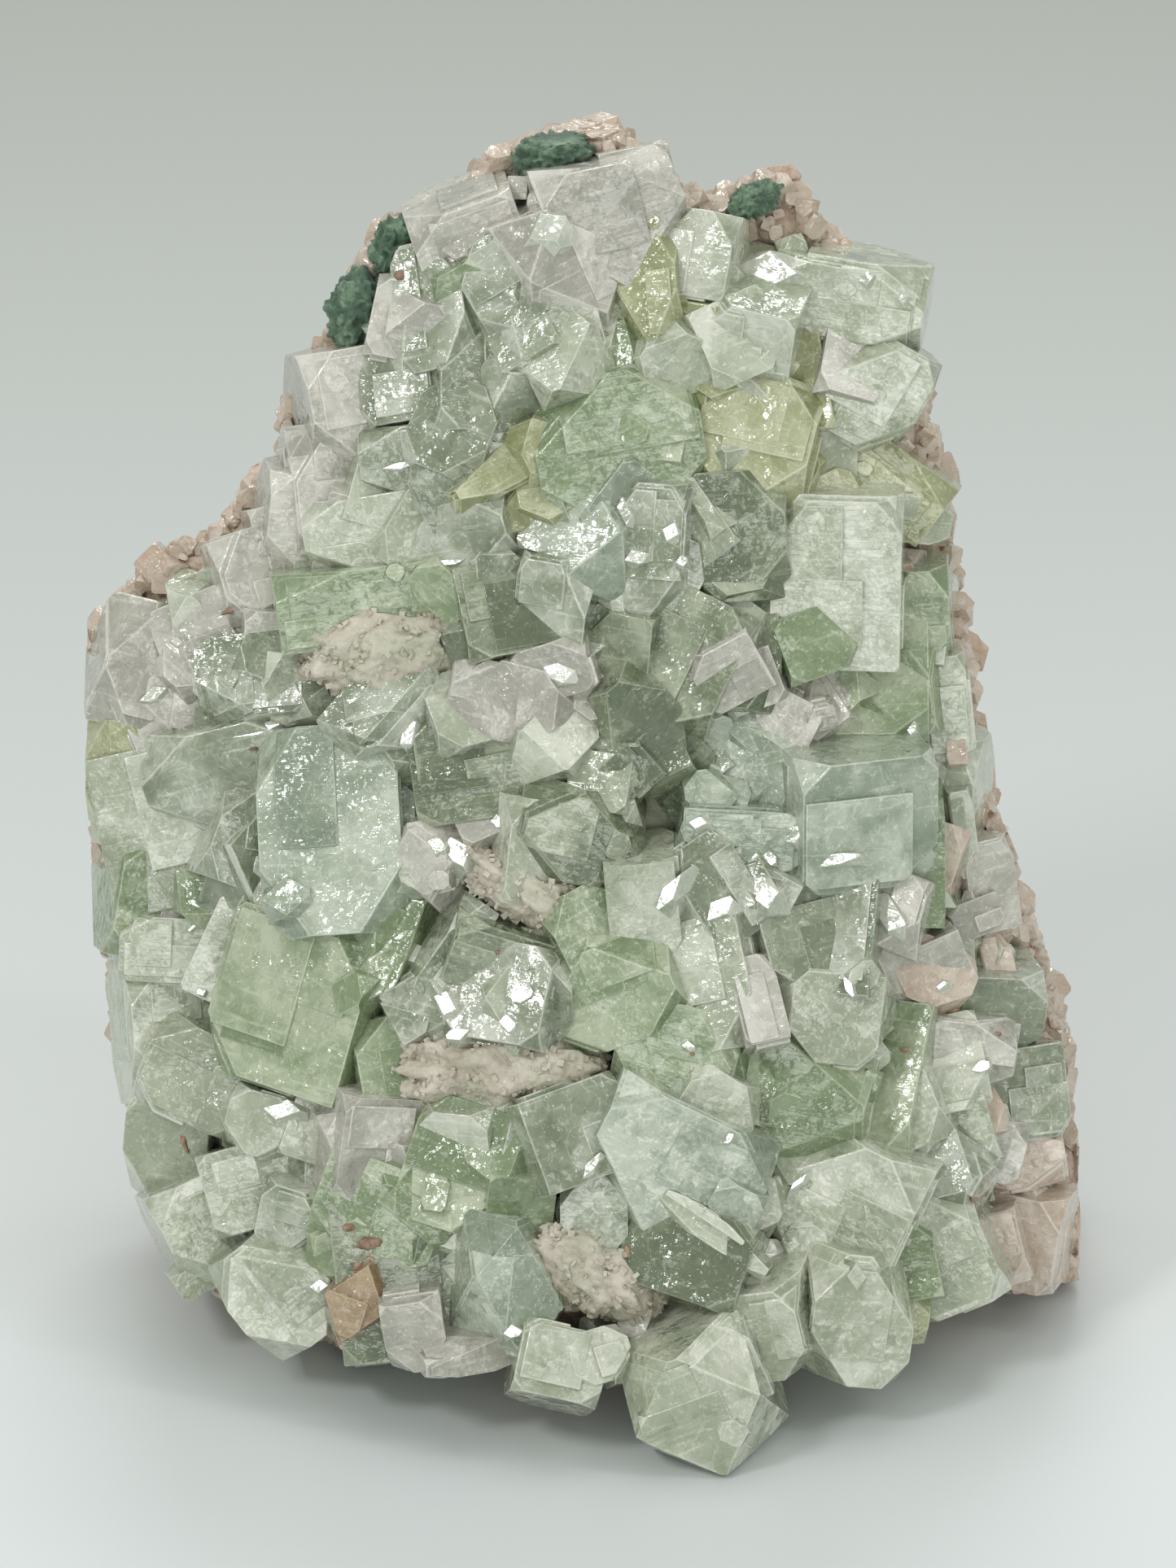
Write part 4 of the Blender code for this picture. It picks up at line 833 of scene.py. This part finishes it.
# Mirror-like facets turned towards the front softbox: (across, up), wide, high, spin. Each is a
# small crystal that stands a little proud of whatever is there.
glints = [
    (11.9, 80.6, 4.4, 2.8, -8), (-3.0, 83.3, 3.0, 2.4, 30), (2.6, 64.6, 0.9, 1.6, 0), (3.4, 61.6, 1.4, 1.0, 20), (5.6, 63.4, 1.2, 1.4, -20),
    (6.2, 61.2, 1.0, 0.8, 10), (-3.6, 62.6, 1.8, 1.0, -20), (-21.3, 50.3, 4.4, 0.7, 14), (-12.0, 49.7, 1.5, 1.3, 40),
    (-8.8, 41.4, 1.8, 2.0, 20), (-10.2, 42.0, 1.2, 1.0, -15), (-6.0, 43.8, 0.8, 0.8, 0), (-2.0, 53.8, 2.0, 1.4, 10),
    (7.4, 43.4, 1.4, 1.0, -10), (5.9, 39.4, 1.0, 3.0, -35), (8.6, 37.4, 2.6, 1.3, 45), (12.3, 38.6, 1.5, 1.6, 10),
    (12.2, 41.2, 1.0, 0.8, 0), (14.1, 42.6, 1.6, 1.2, 20), (16.6, 41.1, 3.0, 0.6, 8), (20.2, 37.5, 2.6, 2.0, -20),
    (17.6, 32.8, 0.5, 1.6, 30), (-9.6, 31.2, 1.8, 1.6, -20), (-8.4, 29.4, 1.6, 0.8, 20), (-5.3, 30.1, 0.9, 0.9, 0),
    (-4.4, 32.2, 1.2, 1.0, 30), (-27.0, 36.3, 0.7, 0.6, 0), (-26.2, 32.0, 0.6, 0.5, 20), (-20.8, 23.9, 2.8, 1.6, -12),
    (11.2, 12.7, 1.8, 1.5, 35), (-5.0, 9.6, 1.1, 0.9, 10), (-18.1, 12.3, 1.3, 0.9, 0), (0.2, 20.6, 0.7, 1.8, -30),
    (18.8, 80.2, 1.2, 1.0, 10), (21.5, 79.2, 0.8, 1.2, 0), (-28.0, 56.0, 0.9, 0.7, 0), (-29.6, 52.4, 1.6, 0.8, 20),
    (6.8, 28.6, 0.8, 0.6, 0), (9.5, 22.4, 0.8, 0.5, 30), (14.2, 19.2, 0.6, 2.0, -40), (22.0, 50.0, 0.6, 0.8, 0),
    (-12.6, 67.6, 2.4, 0.5, 8), (-9.0, 61.2, 2.0, 0.5, 16), (24.2, 32.6, 0.9, 0.7, 0), (26.8, 27.0, 1.0, 0.6, 20),
]
squareOn = Vector((0.0, -1.0, 0.0))
glintLean = {"left": 0.265, "up": 0.234, "scatter": 0.035, "proud": 0.25, "swell": 1.3}


def surfaceAt(across, up):
    # The front surface of the cluster at a place, seen square to the layout.
    start = layout @ (Vector((across, -70.0, up - stand["baseUp"])) * millimetre)
    inward = (layout.to_3x3() @ Vector((0.0, 1.0, 0.0))).normalized()
    graph = bpy.context.evaluated_depsgraph_get()
    return bpy.context.scene.ray_cast(graph, start, inward)


bpy.context.view_layer.update()
chance = random.Random(41)
solids = []
for number, (across, up, wide, high, spin) in enumerate(glints):
    hit, where = surfaceAt(across, up)[:2]
    if not hit:
        continue
    wide, high = wide * glintLean["swell"], high * glintLean["swell"]
    scatter = glintLean["scatter"]
    normal = Vector((-glintLean["left"] + chance.uniform(-scatter, scatter), -0.936,
                     glintLean["up"] + chance.uniform(-scatter, scatter))).normalized()
    align = squareOn.rotation_difference(normal).to_matrix().to_4x4()
    deep = 1.6 + 0.5 * max(wide, high)
    local = (layout.inverted() @ where) / millimetre
    centre = Vector((local.x, local.y - glintLean["proud"], local.z)) - normal * deep / 2
    turned = align @ Matrix.Rotation(math.radians(-spin), 4, "Y")
    place = layout @ Matrix.Translation(centre * millimetre) @ turned @ Matrix.Scale(millimetre, 4)
    planes = cornerPlanes((wide, high, deep), chance.uniform(0.85, 1.05), chance, 0.3)
    solid = block((wide, high, deep), (0.0, 0.0, 0.0), planes, 0.0)
    dress(solid, place, 0.04, 600 + number)
    solids.append(solid)
addPiece("glint_facets", joined(solids), "glint")

# Specks of limonite: (across, up), wide, high, spin.
specks = [
    (-14.6, 15.2, 2.6, 1.2, 10), (-16.0, 16.2, 1.2, 0.9, 0), (-15.4, 13.6, 1.0, 0.8, 30), (-27.5, 21.7, 0.6, 2.0, 20),
    (25.0, 30.8, 1.4, 0.6, 0), (2.8, 14.7, 0.5, 1.4, 10), (-24.2, 58.0, 1.8, 0.6, 30), (-12.5, 80.6, 1.2, 1.0, 0),
    (21.6, 28.2, 0.8, 0.5, 0), (28.0, 29.2, 0.7, 0.5, 0), (26.4, 18.0, 0.9, 0.4, 0), (-6.0, 34.8, 0.6, 0.4, 60),
    (-22.6, 48.6, 0.9, 0.3, 10), (7.2, 28.0, 0.4, 0.4, 0),
]
solids = []
for seed, (across, up, wide, high, spin) in enumerate(specks):
    hit, where = surfaceAt(across, up)[:2]
    if hit:
        turn = layout.to_3x3().to_4x4() @ Matrix.Rotation(math.radians(-spin), 4, "Y")
        place = Matrix.Translation(where) @ turn @ Matrix.Scale(millimetre, 4)
        solids.append(crustLump((0.7 * wide, 0.7 * high, 0.4), place, 40 + seed, "limonite", 3))
addPiece("limonite_specks", joined(solids), "limonite")
print("glint facets set:", len(solids))


studio = {
    "floorHalf": 6000.0, "floorColour": "#D4D9D9", "paintedFalloffColour": "#A5A9A3", "paintedHorizonColour": "#F4F6F4", "worldColour": "#D3D6D2",
    "worldStrength": 0.84,
    "cameraLean": 25.0, "cameraAway": 760.0, "frameHeight": 107.06, "frameCentre": (0.14, 46.2), "focus": 10.0,
    "sensor": 36.0,
}


def addFloor():
    # Pale matt card with painted shade: a little darker behind the object, for light that falls off away from the
    # lamps; far out it is painted lighter again, as painted light that fades it into the bright air.
    bm = bmesh.new()
    bmesh.ops.create_grid(bm, x_segments=1, y_segments=1, size=studio["floorHalf"] * millimetre)
    mesh = bpy.data.meshes.new("studio_floor")
    bm.to_mesh(mesh)
    bm.free()
    made, tree, shader = newMaterial("matt_card", {"Roughness": 0.45})
    place = addNode(tree, "TexCoord", {}, "Object")
    depth = addNode(tree, "SeparateXYZ", {0: place}, "Y")
    # Painted shade: darker towards the back.
    paintedFalloffShade = addNode(tree, "MapRange", {"Value": depth, "From Min": -0.02, "From Max": 0.26})
    colour = addNode(tree, "Mix", {0: paintedFalloffShade, 6: studio["floorColour"], 7: studio["paintedFalloffColour"]}, 2, data_type="RGBA")
    away = addNode(tree, "VectorMath", {0: place}, "Value", operation="LENGTH")
    # Painted light: lighter again far out, towards the horizon.
    paintedHorizonLight = addNode(tree, "MapRange", {"Value": away, "From Min": 0.45, "From Max": 1.6})
    colour = addNode(tree, "Mix", {0: paintedHorizonLight, 6: colour, 7: studio["paintedHorizonColour"]}, 2, data_type="RGBA")
    tree.links.new(colour, shader.inputs["Base Color"])
    mesh.materials.append(made)
    floor = bpy.data.objects.new("studio_floor", mesh)
    bpy.context.scene.collection.objects.link(floor)


def addLight(name, size, power, colour, place, aim):
    lamp = bpy.data.lights.new(name, "AREA")
    lamp.shape = "RECTANGLE"
    lamp.size, lamp.size_y = size[0] * millimetre, size[1] * millimetre
    lamp.energy = power
    lamp.color = hexColour(colour)[:3]
    made = bpy.data.objects.new(name, lamp)
    made.location = Vector(place) * millimetre
    made.rotation_euler = (Vector(place) - Vector(aim)).to_track_quat("Z", "Y").to_euler()
    bpy.context.scene.collection.objects.link(made)


addFloor()
world = bpy.data.worlds.new("studio_air")
world.use_nodes = True
world.node_tree.nodes["Background"].inputs["Color"].default_value = hexColour(studio["worldColour"])
world.node_tree.nodes["Background"].inputs["Strength"].default_value = studio["worldStrength"]
bpy.context.scene.world = world
addLight("top_softbox", (560.0, 420.0), 0.8, "#FFFFFF", (0.0, 130.0, 640.0), (0.0, 0.0, 40.0))
addLight("back_softbox", (300.0, 160.0), 1.2, "#FFFFFF", (0.0, 520.0, 560.0), (0.0, 0.0, 50.0))
addLight("front_softbox", (170.0, 170.0), 1.8, "#FFFFFF", (-450.0, -450.0, 650.0), (0.0, 0.0, 40.0))
addLight("front_fill", (700.0, 300.0), 1.6, "#FFFFFF", (60.0, -850.0, 240.0), (0.0, 0.0, 30.0))
addLight("right_strip", (40.0, 360.0), 0.4, "#FFFFFF", (420.0, -160.0, 480.0), (0.0, 0.0, 40.0))

lens = bpy.data.cameras.new("camera")
lens.sensor_width = studio["sensor"]
lens.lens = studio["sensor"] * studio["cameraAway"] / studio["frameHeight"]
lens.clip_end = 20.0
camera = bpy.data.objects.new("camera", lens)
across, up = studio["frameCentre"]
seat = Vector((across, -(studio["focus"] + studio["cameraAway"]), up - stand["baseUp"])) * millimetre
camera.location = layout @ seat
camera.rotation_euler = (math.radians(90.0 - studio["cameraLean"]), 0.0, 0.0)
bpy.context.scene.collection.objects.link(camera)
bpy.context.scene.camera = camera
bpy.context.scene.view_settings.view_transform = "Standard"
print("studio set")
